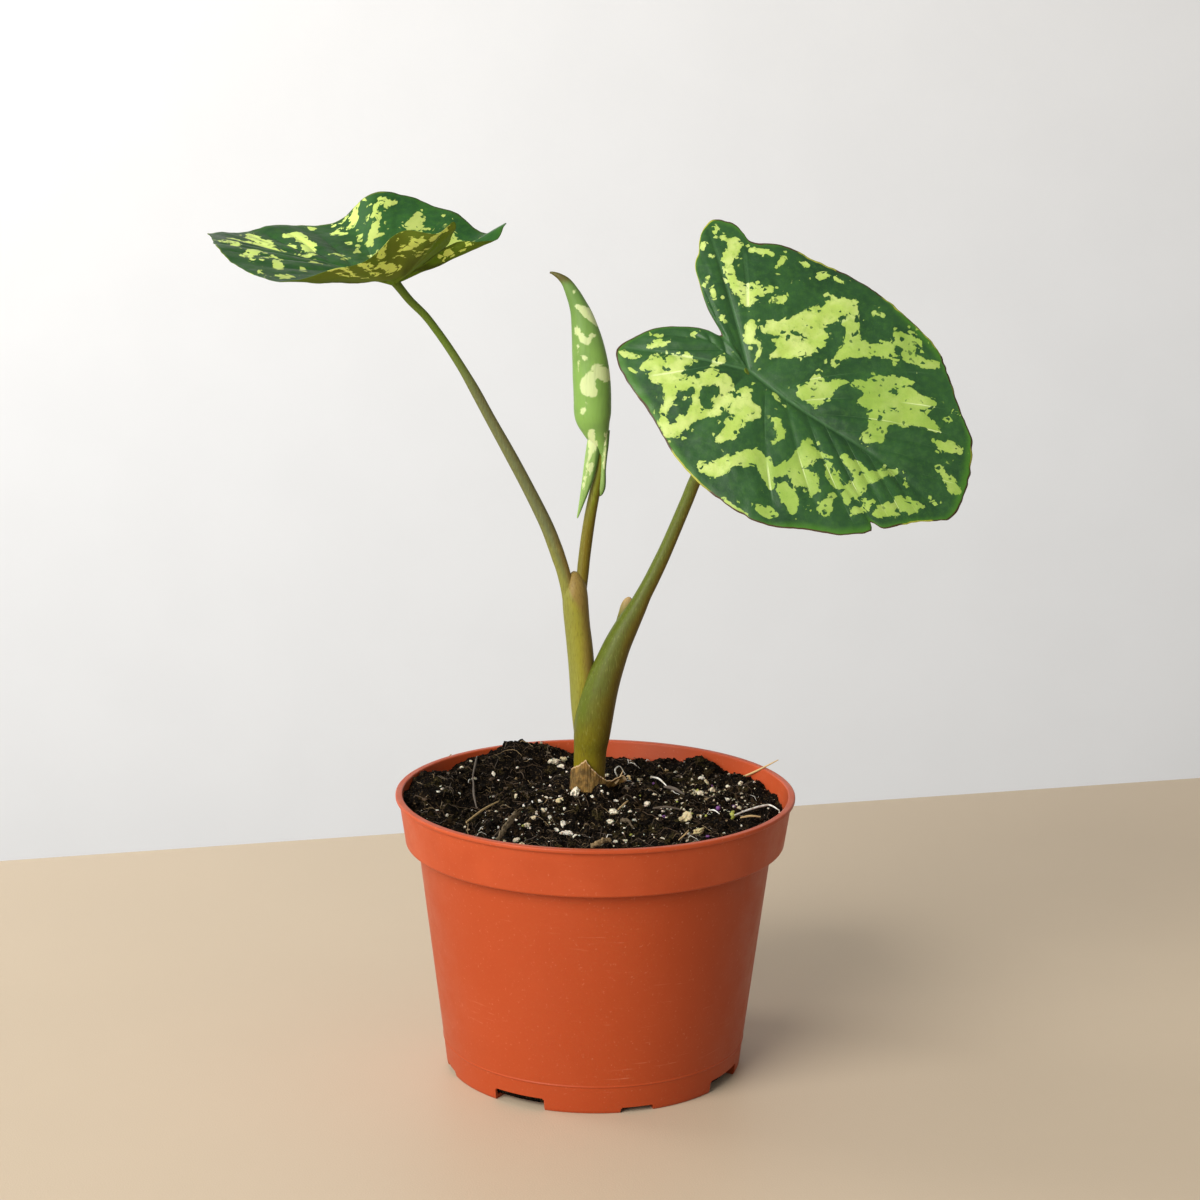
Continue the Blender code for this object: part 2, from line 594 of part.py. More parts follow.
def loft_mesh(name, stations, sides, step=0.0, step_at=0.0):
    """Flattened rings across a centre line, with a step in each where a rolled edge lies."""
    run = smooth_run(stations, even_spans(stations, 7.0))
    extra = 1 if step else 0
    count = sides + extra
    points = []
    for i, (x, y, z, half_width, half_depth) in enumerate(run):
        before = Vector(run[max(i - 1, 0)][:3])
        after = Vector(run[min(i + 1, len(run) - 1)][:3])
        run_way = (before - after).normalized()
        wide = Vector((0.0, 1.0, 0.0)).cross(run_way).normalized()
        deep = Vector((0.0, 1.0, 0.0))
        for side in range(count):
            turn = math.tau * side / sides
            size = 1.0 - step * turn / math.tau
            angle = step_at + turn
            offset = wide * half_width * math.cos(angle) + deep * half_depth * math.sin(angle)
            points.append((Vector((x, y, z)) + offset * size) * MM)
    faces = [tuple(range(count))]
    for row in range(len(run) - 1):
        for side in range(count):
            a = row * count + side
            b = row * count + (side + 1) % count
            faces.append((a, a + count, b + count, b))
    last = (len(run) - 1) * count
    faces.append(tuple(last + side for side in reversed(range(count))))
    mesh = mesh_of(name, points, faces)
    shape = bmesh.new()
    shape.from_mesh(mesh)
    bmesh.ops.recalc_face_normals(shape, faces=shape.faces)
    shape.to_mesh(mesh)
    shape.free()
    mesh.shade_smooth()
    mesh.set_sharp_from_angle(angle=math.radians(50))
    return mesh


def make_rolled_leaf(parts, helpers):
    mesh = loft_mesh("leaf_new", ROLL, ROLL_SIDES, ROLL_STEP, ROLL_EDGE)
    leaf = link("leaf_new", mesh, parts, material("young leaf", YOUNG_BLADE_COLOUR, 0.4))
    for number, stations in enumerate(ROLL_LOBES, 1):
        lobe = link_helper(
            f"rolled lobe {number}", loft_mesh(f"rolled lobe {number}", stations, LOBE_SIDES), helpers,
        )
        boolean(leaf, lobe, "UNION")
    room = link_helper(
        "new stem room in leaf", stem_mesh("new stem room in leaf", NEW_STEM, CLEARANCE), helpers,
    )
    boolean(leaf, room, "DIFFERENCE")
    return leaf


def main():
    clear_scene()
    parts = new_collection("potted alocasia")
    helpers = new_collection("cutters and joined shapes")
    make_pot(parts, helpers)
    make_soil(parts, helpers)
    make_corm(parts)
    make_papery_sheath(parts)
    make_stems(parts, helpers)
    blade_finish = material("mottled leaf", BLADE_COLOUR, 0.4)
    make_blade(
        "leaf_right", RIGHT_NAVEL, RIGHT_POSE, RIGHT_MARGIN, RIGHT_RISE_POWER, RIGHT_CROWN,
        parts, blade_finish,
    )
    make_blade(
        "leaf_left", LEFT_NAVEL, LEFT_POSE, LEFT_MARGIN, LEFT_RISE_POWER, LEFT_CROWN,
        parts, blade_finish,
    )
    make_rolled_leaf(parts, helpers)


main()
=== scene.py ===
"""Looks of a young potted alocasia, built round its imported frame.

Metres, +Z up, the front towards -Y. The origin is the centre of the pot's underside.
"""

import math

import bmesh
import bpy
import numpy as np
from mathutils import Matrix, Vector, noise


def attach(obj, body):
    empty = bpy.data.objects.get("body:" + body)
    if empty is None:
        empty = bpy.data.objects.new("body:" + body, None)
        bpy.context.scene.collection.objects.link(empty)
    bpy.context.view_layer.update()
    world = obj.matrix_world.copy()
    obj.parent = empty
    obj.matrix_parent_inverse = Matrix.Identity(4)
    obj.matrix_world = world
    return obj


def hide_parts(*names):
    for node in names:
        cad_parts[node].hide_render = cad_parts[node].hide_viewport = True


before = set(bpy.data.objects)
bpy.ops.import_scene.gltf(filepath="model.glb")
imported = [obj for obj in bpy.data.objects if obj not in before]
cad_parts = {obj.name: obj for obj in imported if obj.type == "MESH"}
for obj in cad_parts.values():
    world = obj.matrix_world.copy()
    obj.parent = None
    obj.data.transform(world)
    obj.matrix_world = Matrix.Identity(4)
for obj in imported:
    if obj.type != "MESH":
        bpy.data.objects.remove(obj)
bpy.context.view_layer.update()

# ---- Nursery pot
# One thin shell of terracotta-coloured polypropylene, injection moulded in one shot: a rolled lip,
# a tall rim band that lets pots nest, a ledge, a tapered body and drainage notches round the foot.

MM = 0.001
POT_TURNS = 240
# How far the inner wall leans out for each millimetre that it rises
WALL_LEAN = 0.1514
CORNER_STEPS = 5
# Straight runs are cut this close to their corners, and into pieces no longer than this
SHADE_HOLD = 0.35
LONGEST_RUN = 7.0
# Half section as radius, height and rounding, from the middle of the foot up the outside
POT_OUTLINE = (
    (0.0, 0.0, 0.0), (59.5, 0.0, 0.5), (59.9, 1.3, 0.3), (61.0, 11.0, 0.15), (61.35, 11.5, 0.12),
    (61.17, 12.0, 0.15), (71.15, 93.0, 1.0), (75.95, 92.9, 0.9), (78.6, 110.95, 0.35),
    (80.0, 111.25, 0.6), (80.0, 112.9, 0.65), (77.3, 112.9, 0.6), (74.5, 94.4, 0.8),
    (69.85, 94.2, 0.8), (58.45, 1.6, 0.8), (0.0, 1.6, 0.0),
)
# Drainage notches: azimuth of the first from the front in degrees, width and height in millimetres
POT_NOTCHES = ((-28.8, 22.0, 5.0), (17.0, 13.5, 2.3))
NOTCH_DEPTH = 7.5
POT_ORANGE = (0.455, 0.074, 0.021)
POT_BODY_SHADE = (0.362, 0.052, 0.0110)
POT_DEEP = (0.390, 0.057, 0.014)
POT_SCUFF = (0.74, 0.30, 0.18)
POT_DIRT = (0.05, 0.025, 0.015)


def put(near, kind, sockets=(), **settings):
    """Adds a node to the tree that near is in, sets its options, and links or sets its sockets."""
    tree = near.id_data
    node = tree.nodes.new(kind)
    for name, value in settings.items():
        setattr(node, name, value)
    for name, value in dict(sockets).items():
        if isinstance(value, bpy.types.NodeSocket):
            tree.links.new(value, node.inputs[name])
        else:
            node.inputs[name].default_value = value
    return node


def calc(operation, *values):
    """One sum, on what other nodes work out and on plain numbers."""
    near = next(value for value in values if isinstance(value, bpy.types.NodeSocket))
    return put(near, "ShaderNodeMath", enumerate(values), operation=operation).outputs[0]


def times(first, second):
    return calc("MULTIPLY", first, second)


def plus(first, second):
    return calc("ADD", first, second)


def minus(first, second):
    return calc("SUBTRACT", first, second)


def larger(first, second):
    return calc("MAXIMUM", first, second)


def ramp(value, low, high, start=0.0, end=1.0):
    """A smooth step from start to end, as the value goes from low to high."""
    sockets = {"Value": value, "From Min": low, "From Max": high, "To Min": start, "To Max": end}
    node = put(value, "ShaderNodeMapRange", sockets, interpolation_type="SMOOTHSTEP", clamp=True)
    return node.outputs[0]


def blend(share, first, second):
    """The first tone, which turns into the second as the share goes from 0 to 1."""
    first, second = ((*tone, 1.0) if isinstance(tone, tuple) else tone for tone in (first, second))
    sockets = {0: share, 6: first, 7: second}
    return put(share, "ShaderNodeMix", sockets, data_type="RGBA").outputs[2]


def grain(where, scale, detail=2.0, roughness=0.5, distortion=0.0):
    sockets = {
        "Vector": where, "Scale": scale, "Detail": detail, "Roughness": roughness,
        "Distortion": distortion,
    }
    return put(where, "ShaderNodeTexNoise", sockets).outputs["Fac"]


def measure(near, name):
    """A number that the mesh carries at each of its points."""
    return put(near, "ShaderNodeAttribute", attribute_name=name).outputs["Fac"]


def stretched(where, across, along):
    """The place, scaled unequally, so that what is drawn with it becomes long in Z."""
    sockets = {"Vector": where, "Scale": (across, across, along)}
    return put(where, "ShaderNodeMapping", sockets).outputs[0]


def new_finish(name, roughness, specular):
    """A finish, its shader, and the place on the piece, which patterns are drawn by."""
    finish = bpy.data.materials.new(name)
    finish.use_nodes = True
    shader = finish.node_tree.nodes["Principled BSDF"]
    shader.inputs["Roughness"].default_value = roughness
    shader.inputs["Specular IOR Level"].default_value = specular
    return finish, shader, put(shader, "ShaderNodeTexCoord").outputs["Object"]


def feed(shader, name, value):
    """Links what the nodes work out to one of the shader's sockets."""
    shader.id_data.links.new(value, shader.inputs[name])


def soften(shader, share, depth, spread=None):
    """Lets a share of the light soak in, as far as depth times the spread of each colour."""
    shader.inputs["Subsurface Weight"].default_value = share
    shader.inputs["Subsurface Scale"].default_value = depth
    if spread:
        shader.inputs["Subsurface Radius"].default_value = spread


def raise_with(shader, height, distance, strength=1.0):
    sockets = {"Height": height, "Distance": distance, "Strength": strength}
    feed(shader, "Normal", put(shader, "ShaderNodeBump", sockets).outputs[0])


def hang(piece, slot, finish, *nodes):
    """Puts a new piece on the plant's one body, in place of the nodes that it stands for."""
    piece.data.materials.clear()
    piece.data.materials.append(finish)
    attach(piece, "root")
    if nodes:
        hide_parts(*nodes)


def new_piece(name, points, faces, sharp=None):
    """A mesh piece from points in millimetres."""
    mesh = bpy.data.meshes.new(name)
    mesh.from_pydata([tuple(point) for point in np.asarray(points, float) * MM], [], faces)
    mesh.shade_smooth()
    if sharp:
        mesh.set_sharp_from_angle(angle=math.radians(sharp))
    piece = bpy.data.objects.new(name, mesh)
    bpy.context.scene.collection.objects.link(piece)
    return piece


def carry(piece, name, values):
    """Stores one number a point on the mesh, for its finish to read."""
    store = piece.data.attributes.new(name, "FLOAT", "POINT").data
    store.foreach_set("value", np.asarray(values, float))


def rounded(outline):
    """The outline with its corners rounded, and its long runs cut so that they shade evenly."""
    run = []
    for i, (radius, height, rounding) in enumerate(outline):
        corner = Vector((radius, height))
        if not rounding:
            run.append(corner)
            continue
        before = (Vector(outline[i - 1][:2]) - corner).normalized() * rounding
        after = (Vector(outline[i + 1][:2]) - corner).normalized() * rounding
        for step in range(CORNER_STEPS + 1):
            t = step / CORNER_STEPS
            run.append(corner + before * (1 - t) ** 2 + after * t**2)
    held = [run[0]]
    for a, b in zip(run, run[1:]):
        length = (b - a).length
        if length > 3 * SHADE_HOLD:
            way = (b - a) / length
            cuts = max(1, round((length - 2 * SHADE_HOLD) / LONGEST_RUN))
            for cut in range(cuts + 1):
                held.append(a + way * (SHADE_HOLD + (length - 2 * SHADE_HOLD) * cut / cuts))
        held.append(b)
    return held


def turned_pot():
    shape = bmesh.new()
    verts = [shape.verts.new((r * MM, 0.0, z * MM)) for r, z in rounded(POT_OUTLINE)]
    edges = [shape.edges.new(pair) for pair in zip(verts, verts[1:])]
    bmesh.ops.spin(
        shape, geom=verts + edges, cent=(0, 0, 0), axis=(0, 0, 1), angle=math.tau, steps=POT_TURNS,
        use_merge=True,
    )
    bmesh.ops.remove_doubles(shape, verts=shape.verts, dist=1e-6)
    bmesh.ops.recalc_face_normals(shape, faces=shape.faces)
    mesh = bpy.data.meshes.new("pot")
    shape.to_mesh(mesh)
    shape.free()
    return mesh


def notch_blocks():
    """The drainage notches as one mesh of blocks with eased edges, to be cut out of the foot."""
    shape = bmesh.new()
    foot = POT_OUTLINE[2][0]
    for azimuth, width, height in POT_NOTCHES:
        for quarter in range(4):
            turn = Matrix.Rotation(math.radians(azimuth + 90 * quarter), 4, "Z")
            size = Matrix.Diagonal((width * MM, (NOTCH_DEPTH + 6) * MM, (height + 4) * MM, 1.0))
            centre = (0.0, -(foot + 3 - NOTCH_DEPTH / 2) * MM, (height - 4) / 2 * MM)
            made = bmesh.ops.create_cube(shape, matrix=turn @ Matrix.Translation(centre) @ size)
            rim = {edge for vert in made["verts"] for edge in vert.link_edges}
            bmesh.ops.bevel(shape, geom=list(rim), offset=0.5 * MM, segments=2, affect="EDGES")
    mesh = bpy.data.meshes.new("notch blocks")
    shape.to_mesh(mesh)
    shape.free()
    return bpy.data.objects.new("notch blocks", mesh)


def settle(piece):
    """Makes a piece's modifiers part of its mesh."""
    done = piece.evaluated_get(bpy.context.evaluated_depsgraph_get())
    made = bpy.data.meshes.new_from_object(done)
    piece.modifiers.clear()
    piece.data = made


def in_order(mesh):
    """The same mesh, with its points and faces in an order that is the same each run."""
    places = [tuple(vert.co) for vert in mesh.vertices]
    order = sorted(range(len(places)), key=places.__getitem__)
    rank = {old: new for new, old in enumerate(order)}
    faces = []
    for face in mesh.polygons:
        loop = [rank[i] for i in face.vertices]
        first = loop.index(min(loop))
        faces.append(tuple(loop[first:] + loop[:first]))
    made = bpy.data.meshes.new(mesh.name)
    made.from_pydata([places[i] for i in order], [], sorted(faces))
    return made


pot = bpy.data.objects.new("nursery_pot", turned_pot())
bpy.context.scene.collection.objects.link(pot)
blocks = notch_blocks()
bpy.context.scene.collection.objects.link(blocks)
cut = pot.modifiers.new("drainage notches", "BOOLEAN")
cut.operation = "DIFFERENCE"
cut.solver = "EXACT"
cut.object = blocks
settle(pot)
pot.data = in_order(pot.data)
bpy.data.objects.remove(blocks, do_unlink=True)
pot.data.shade_smooth()
pot.data.set_sharp_from_angle(angle=math.radians(38))


def moulded_plastic():
    finish, shader, where = new_finish("terracotta plastic", 0.4, 0.24)
    height = put(where, "ShaderNodeSeparateXYZ", {0: where}).outputs[2]
    cloud = ramp(grain(where, 22.0, 4.0, 0.6), 0.3, 0.7)
    base = blend(cloud, POT_DEEP, POT_ORANGE)
    # Painted shade: the body below the band is darker than the band, as it gets less of the light
    base = blend(ramp(height, 0.0932, 0.0940, 0.75, 0.0), base, POT_BODY_SHADE)
    speckle = ramp(grain(where, 900.0, 2.0), 0.62, 0.8, 0.0, 0.2)
    base = blend(speckle, base, POT_SCUFF)
    streak = grain(stretched(where, 60.0, 900.0), 1.0, 3.0, 0.6, 0.4)
    rub = times(ramp(streak, 0.63, 0.74), ramp(cloud, 0.35, 0.9))
    base = blend(times(rub, 0.22), base, POT_SCUFF)
    # Mix that dried on the inside of the band, and specks of it on the lip
    crust = grain(where, 620.0, 5.0, 0.7)
    low = ramp(height, 0.1035, 0.1095, 0.60, 0.30)
    level = {0: where, 1: (1.0, 1.0, 0.0)}
    flat = put(where, "ShaderNodeVectorMath", level, operation="MULTIPLY").outputs[0]
    radius = put(where, "ShaderNodeVectorMath", {0: flat}, operation="LENGTH").outputs["Value"]
    # Less its lean, the inner wall is about 60.2 mm out all the way up
    lean = minus(radius, times(height, WALL_LEAN))
    inside = times(ramp(lean, 0.0605, 0.0611, 1.0, 0.0), ramp(height, 0.0938, 0.0942))
    dirty = times(ramp(plus(crust, low), 1.06, 1.14), inside)
    base = blend(dirty, base, POT_DIRT)
    feed(shader, "Base Color", base)
    satin = ramp(grain(where, 70.0, 5.0, 0.65), 0.2, 0.8, 0.34, 0.52)
    feed(shader, "Roughness", satin)
    soften(shader, 0.12, 0.002, (1.0, 0.25, 0.1))
    skin = plus(grain(where, 1500.0, 2.0), times(streak, 0.6))
    raise_with(shader, skin, 0.00006, 0.5)
    return finish


hang(pot, "terracotta_plastic", moulded_plastic(), "pot")

# ---- Potting mix
# Dark peat with perlite, bark and old roots, poured in loose and settled: a lumpy surface mounded
# at the stem and at the back left, sunk at the right, where the pot's inner wall shows.

SOIL_LEVEL = 106.2
SOIL_WALL = ((75.2, 101.2), (73.85, 94.65), (69.1, 94.3), (57.2, 2.0))
# The same mounds and lumps as the solid's: x, y, height and spread, then lump size and relief
SOIL_MOUNDS = (
    (-2.6, 15.0, 4.2, 20.0), (-28.0, 60.0, 5.6, 22.0), (-55.0, 20.0, 2.0, 22.0),
    (40.0, 52.0, -0.8, 26.0), (66.0, 4.0, -2.6, 16.0),
)
SOIL_LUMPS = ((13.0, 1.5), (5.5, 1.0))
SOIL_RINGS = 118
SOIL_SIDES = 560
SOIL_REACH = 75.6
# The mix lies against the inner wall, here as far out as at this height
SOIL_EDGE = (74.8, 94.4)
STEM_FOOT = (-2.6, 15.0)
# Loose bits keep this far from the stem's axis
STEM_CLEAR = 7.5
# Loose heaps on the settled surface, as x, y, height and spread, and a pit in front of the stem
SOIL_HEAPS = (
    (-24.0, 64.0, 2.6, 11.0), (-46.0, 50.0, 4.2, 13.0), (-66.0, 26.0, 4.3, 13.0),
    (-71.0, 0.0, 4.2, 13.0), (-66.0, -26.0, 2.4, 12.0), (44.0, 58.0, 6.2, 9.0),
    (62.0, 34.0, 2.4, 8.0), (16.0, 66.0, 1.0, 8.0), (26.0, -30.0, 1.0, 12.0),
    (-36.0, 62.0, 1.8, 9.0), (2.8, 6.2, 2.6, 4.6), (-68.0, 4.0, 2.2, 15.0), (0.0, -19.0, -4.0, 6.5),
)
SOIL_BLACK = (0.0036, 0.0022, 0.0014)
SOIL_BROWN = (0.050, 0.030, 0.012)
SOIL_MOSSY = (0.050, 0.042, 0.012)
CRUMB_TAN_AND_HIGHLIGHT = (0.165, 0.108, 0.052)
CRUMB_PIT_SHADE = (0.0014, 0.0009, 0.0006)
PERLITE_WHITE = (0.79, 0.73, 0.615)
PERLITE_CREAM = (0.50, 0.40, 0.20)


def heaped(x, y, heaps):
    """How much the heaps raise a place."""
    rise = 0.0
    for heap_x, heap_y, height, spread in heaps:
        away = math.hypot(x - heap_x, y - heap_y) / spread
        rise += height * math.exp(-away * away)
    return rise


def ground(x, y):
    """Height of the mix's settled surface."""
    height = SOIL_LEVEL + heaped(x, y, SOIL_MOUNDS)
    for size, relief in SOIL_LUMPS:
        height += relief * noise.noise(Vector((x / size, y / size, size)))
    return height


def crumbled(x, y):
    """The surface with its crumb: ragged clumps on clumps, with holes between them."""
    height = ground(x, y) + heaped(x, y, SOIL_HEAPS)
    clumps = noise.fractal(Vector((x / 6.5, y / 6.5, 3.1)), 0.8, 2.1, 3)
    ridges = 0.35 - abs(noise.noise(Vector((x / 3.1, y / 3.1, 5.7))))
    ridges += 0.55 * (0.35 - abs(noise.noise(Vector((x / 1.5, y / 1.5, 8.3)))))
    pits = noise.noise(Vector((x / 3.4, y / 3.4, 7.7)))
    return height + 1.2 * clumps + 2.0 * ridges - 3.4 * max(0.0, pits - 0.2) - 0.4


def ring_quads(start, rings, count):
    """Quads between rings of points that follow one another from the start."""
    quads = []
    for ring in range(rings - 1):
        for i in range(count):
            a = start + ring * count + i
            b = start + ring * count + (i + 1) % count
            quads.append((a, b, b + count, a + count))
    return quads


def disc_faces(rings, count):
    """A fan round the first point, then quads between the rings round it."""
    fan = [(0, 1 + i, 1 + (i + 1) % count) for i in range(count)]
    return fan + [(a, d, c, b) for a, b, c, d in ring_quads(1, rings, count)]


def soil_body():
    points = [(0.0, 0.0, crumbled(0.0, 0.0))]
    turns = np.linspace(0, math.tau, SOIL_SIDES, endpoint=False)
    reach = []
    for turn in turns:
        height = crumbled(SOIL_REACH * math.cos(turn), SOIL_REACH * math.sin(turn))
        reach.append(SOIL_EDGE[0] + WALL_LEAN * (height - SOIL_EDGE[1]))
    for ring in range(1, SOIL_RINGS + 1):
        for turn, side_reach in zip(turns, reach):
            radius = side_reach * ring / SOIL_RINGS
            x, y = radius * math.cos(turn), radius * math.sin(turn)
            points.append((x, y, crumbled(x, y)))
    for radius, height in SOIL_WALL:
        for turn in turns:
            points.append((radius * math.cos(turn), radius * math.sin(turn), height))
    points.append((0.0, 0.0, SOIL_WALL[-1][1]))
    rings = SOIL_RINGS + len(SOIL_WALL)
    faces = disc_faces(rings, SOIL_SIDES)
    bottom = 1 + (rings - 1) * SOIL_SIDES
    for side in range(SOIL_SIDES):
        faces.append((len(points) - 1, bottom + (side + 1) % SOIL_SIDES, bottom + side))
    return new_piece("potting_mix", points, faces)


def peat():
    finish, shader, where = new_finish("dark peat", 0.85, 0.06)
    clump = grain(where, 240.0, 5.0, 0.7)
    crumb = grain(where, 1300.0, 4.0, 0.7)
    base = blend(ramp(clump, 0.50, 0.72), SOIL_BLACK, SOIL_BROWN)
    mossy = ramp(grain(where, 60.0, 3.0), 0.52, 0.62, 0.0, 0.5)
    mossy = times(mossy, ramp(clump, 0.5, 0.6))
    base = blend(mossy, base, SOIL_MOSSY)
    # Fine specks placed by noise: lighter brown crumbs with a painted highlight, and painted shade
    # of pits in near black
    base = blend(ramp(crumb, 0.58, 0.67, 0.0, 0.75), base, CRUMB_TAN_AND_HIGHLIGHT)
    base = blend(ramp(crumb, 0.48, 0.40, 0.0, 0.95), base, CRUMB_PIT_SHADE)
    feed(shader, "Base Color", base)
    wet = ramp(grain(where, 700.0, 3.0), 0.62, 0.70, 0.9, 0.24)
    feed(shader, "Roughness", wet)
    rough = plus(clump, times(crumb, 0.6))
    raise_with(shader, rough, 0.0014, 1.0)
    return finish


def lump_shape(detail):
    shape = bmesh.new()
    bmesh.ops.create_icosphere(shape, subdivisions=detail, radius=1.0)
    shape.verts.ensure_lookup_table()
    points = np.array([vert.co for vert in shape.verts])
    faces = np.array([[vert.index for vert in face.verts] for face in shape.faces])
    shape.free()
    return points, faces


def random_turns(dice, count, lie_flat):
    """Rotation matrices: any way up, or tipped only a little where the lumps lie flat."""
    heading = dice.uniform(0, math.tau, count)
    reach = 0.35 if lie_flat else math.pi
    tip = dice.uniform(-reach, reach, count)
    turns = np.zeros((count, 3, 3))
    for i in range(count):
        turns[i] = Matrix.Rotation(heading[i], 3, "Z") @ Matrix.Rotation(tip[i], 3, "X")
    return turns


def carry_each(piece, name, values):
    """Stores one number a lump, at all the points of the lump."""
    carry(piece, name, np.repeat(values, len(piece.data.vertices) // len(values)))


def scatter(name, centres, radii, proportions, ragged, detail, seed, lie_flat=False, sharp=None):
    """Many small lumps as one piece, each stretched, turned and made ragged in its own way."""
    dice = np.random.default_rng(seed)
    ball, ball_faces = lump_shape(detail)
    count = len(centres)
    stretch = dice.uniform(0.7, 1.3, (count, 1, 3)) * np.asarray(proportions)
    # A few broad dents for the lump's own form, then a small one at each point
    ways = dice.normal(0, 1, (count, 5, 3))
    ways /= np.linalg.norm(ways, axis=2, keepdims=True)
    facing = np.einsum("ckj,pj->cpk", ways, ball)
    dents = 1 - 1.3 * ragged * np.clip(facing - 0.45, 0, 1).sum(axis=2)[:, :, None]
    dents = dents + ragged * dice.uniform(-0.6, 0.6, (count, len(ball), 1))
    lumps = ball[None] * dents * stretch * np.asarray(radii)[:, None, None]
    turns = random_turns(dice, count, lie_flat)
    lumps = np.einsum("cij,cpj->cpi", turns, lumps) + np.asarray(centres)[:, None, :]
    steps = (np.arange(count) * len(ball))[:, None, None]
    faces = (ball_faces[None] + steps).reshape(-1, 3)
    piece = new_piece(name, lumps.reshape(-1, 3), faces.tolist(), sharp)
    carry_each(piece, "tint", dice.uniform(0, 1, count))
    return piece


def strewn(dice, radii, sink, crowd):
    """Places on the surface for the lumps of the radii given, more of them where they crowd."""
    places = []
    while len(places) < len(radii):
        x, y = dice.uniform(-75, 75, 2)
        size = radii[len(places)]
        if math.hypot(x, y) + size > SOIL_EDGE[0]:
            continue
        if math.hypot(x - STEM_FOOT[0], y - STEM_FOOT[1]) < STEM_CLEAR + size:
            continue
        if crowd and dice.uniform() > crowd(x, y):
            continue
        places.append((x, y, crumbled(x, y) + size * sink))
    return places


def strewn_lumps(
    name, seed, count, sizes, power, sink, proportions, ragged, detail, sharp, crowd=None,
    lie_flat=False,
):
    """Lumps strewn over the surface, most of them small, and the places where they lie."""
    dice = np.random.default_rng(seed)
    radii = sizes[0] + (sizes[1] - sizes[0]) * dice.uniform(0, 1, count) ** power
    places = strewn(dice, radii, sink, crowd)
    made = scatter(name, places, radii, proportions, ragged, detail, seed + 1, lie_flat, sharp)
    return made, places


soil = soil_body()
peat_finish = peat()
hang(soil, "potting_mix", peat_finish, "potting_soil")
clods = strewn_lumps(
    "peat_clods", 11, 1500, sizes=(0.5, 2.4), power=2.5, sink=0.0, proportions=(1.2, 0.8, 0.65),
    ragged=0.42, detail=2, sharp=18,
)[0]
hang(clods, "potting_mix", peat_finish)
crumbs = strewn_lumps(
    "peat_crumbs", 21, 4900, sizes=(0.2, 0.75), power=1.6, sink=0.35, proportions=(1.35, 0.7, 0.6),
    ragged=0.4, detail=1, sharp=15,
)[0]
hang(crumbs, "potting_mix", peat_finish)

# How thick the small perlite lies, as x, y, share and spread: most at the right, then left of
# the middle, and hardly any in the pit
PERLITE_EVERYWHERE = 0.06
PERLITE_CROWDS = ((-20.0, -10.0, 0.46, 25.0), (42.0, 14.0, 1.0, 26.0), (12.0, -40.0, 0.12, 22.0))
PERLITE_PIT = ((0.0, -19.0, 0.9, 10.0),)
# Where it is stained yellow
PERLITE_STAIN = ((42.0, 22.0, 0.75, 26.0),)


def perlite_crowd(x, y):
    crowd = PERLITE_EVERYWHERE + heaped(x, y, PERLITE_CROWDS)
    return crowd * (1 - heaped(x, y, PERLITE_PIT))


def perlite():
    finish, shader, where = new_finish("perlite", 0.75, 0.35)
    tint = ramp(measure(where, "tint"), 0.55, 1.0, 0.0, 0.7)
    cream = larger(tint, measure(where, "cream"))
    base = blend(cream, PERLITE_WHITE, PERLITE_CREAM)
    dirt = ramp(grain(where, 800.0, 4.0), 0.52, 0.68, 0.0, 0.85)
    base = blend(dirt, base, SOIL_BROWN)
    feed(shader, "Base Color", base)
    soften(shader, 0.15, 0.0006)
    raise_with(shader, grain(where, 1500.0, 4.0, 0.7), 0.0005, 0.9)
    return finish


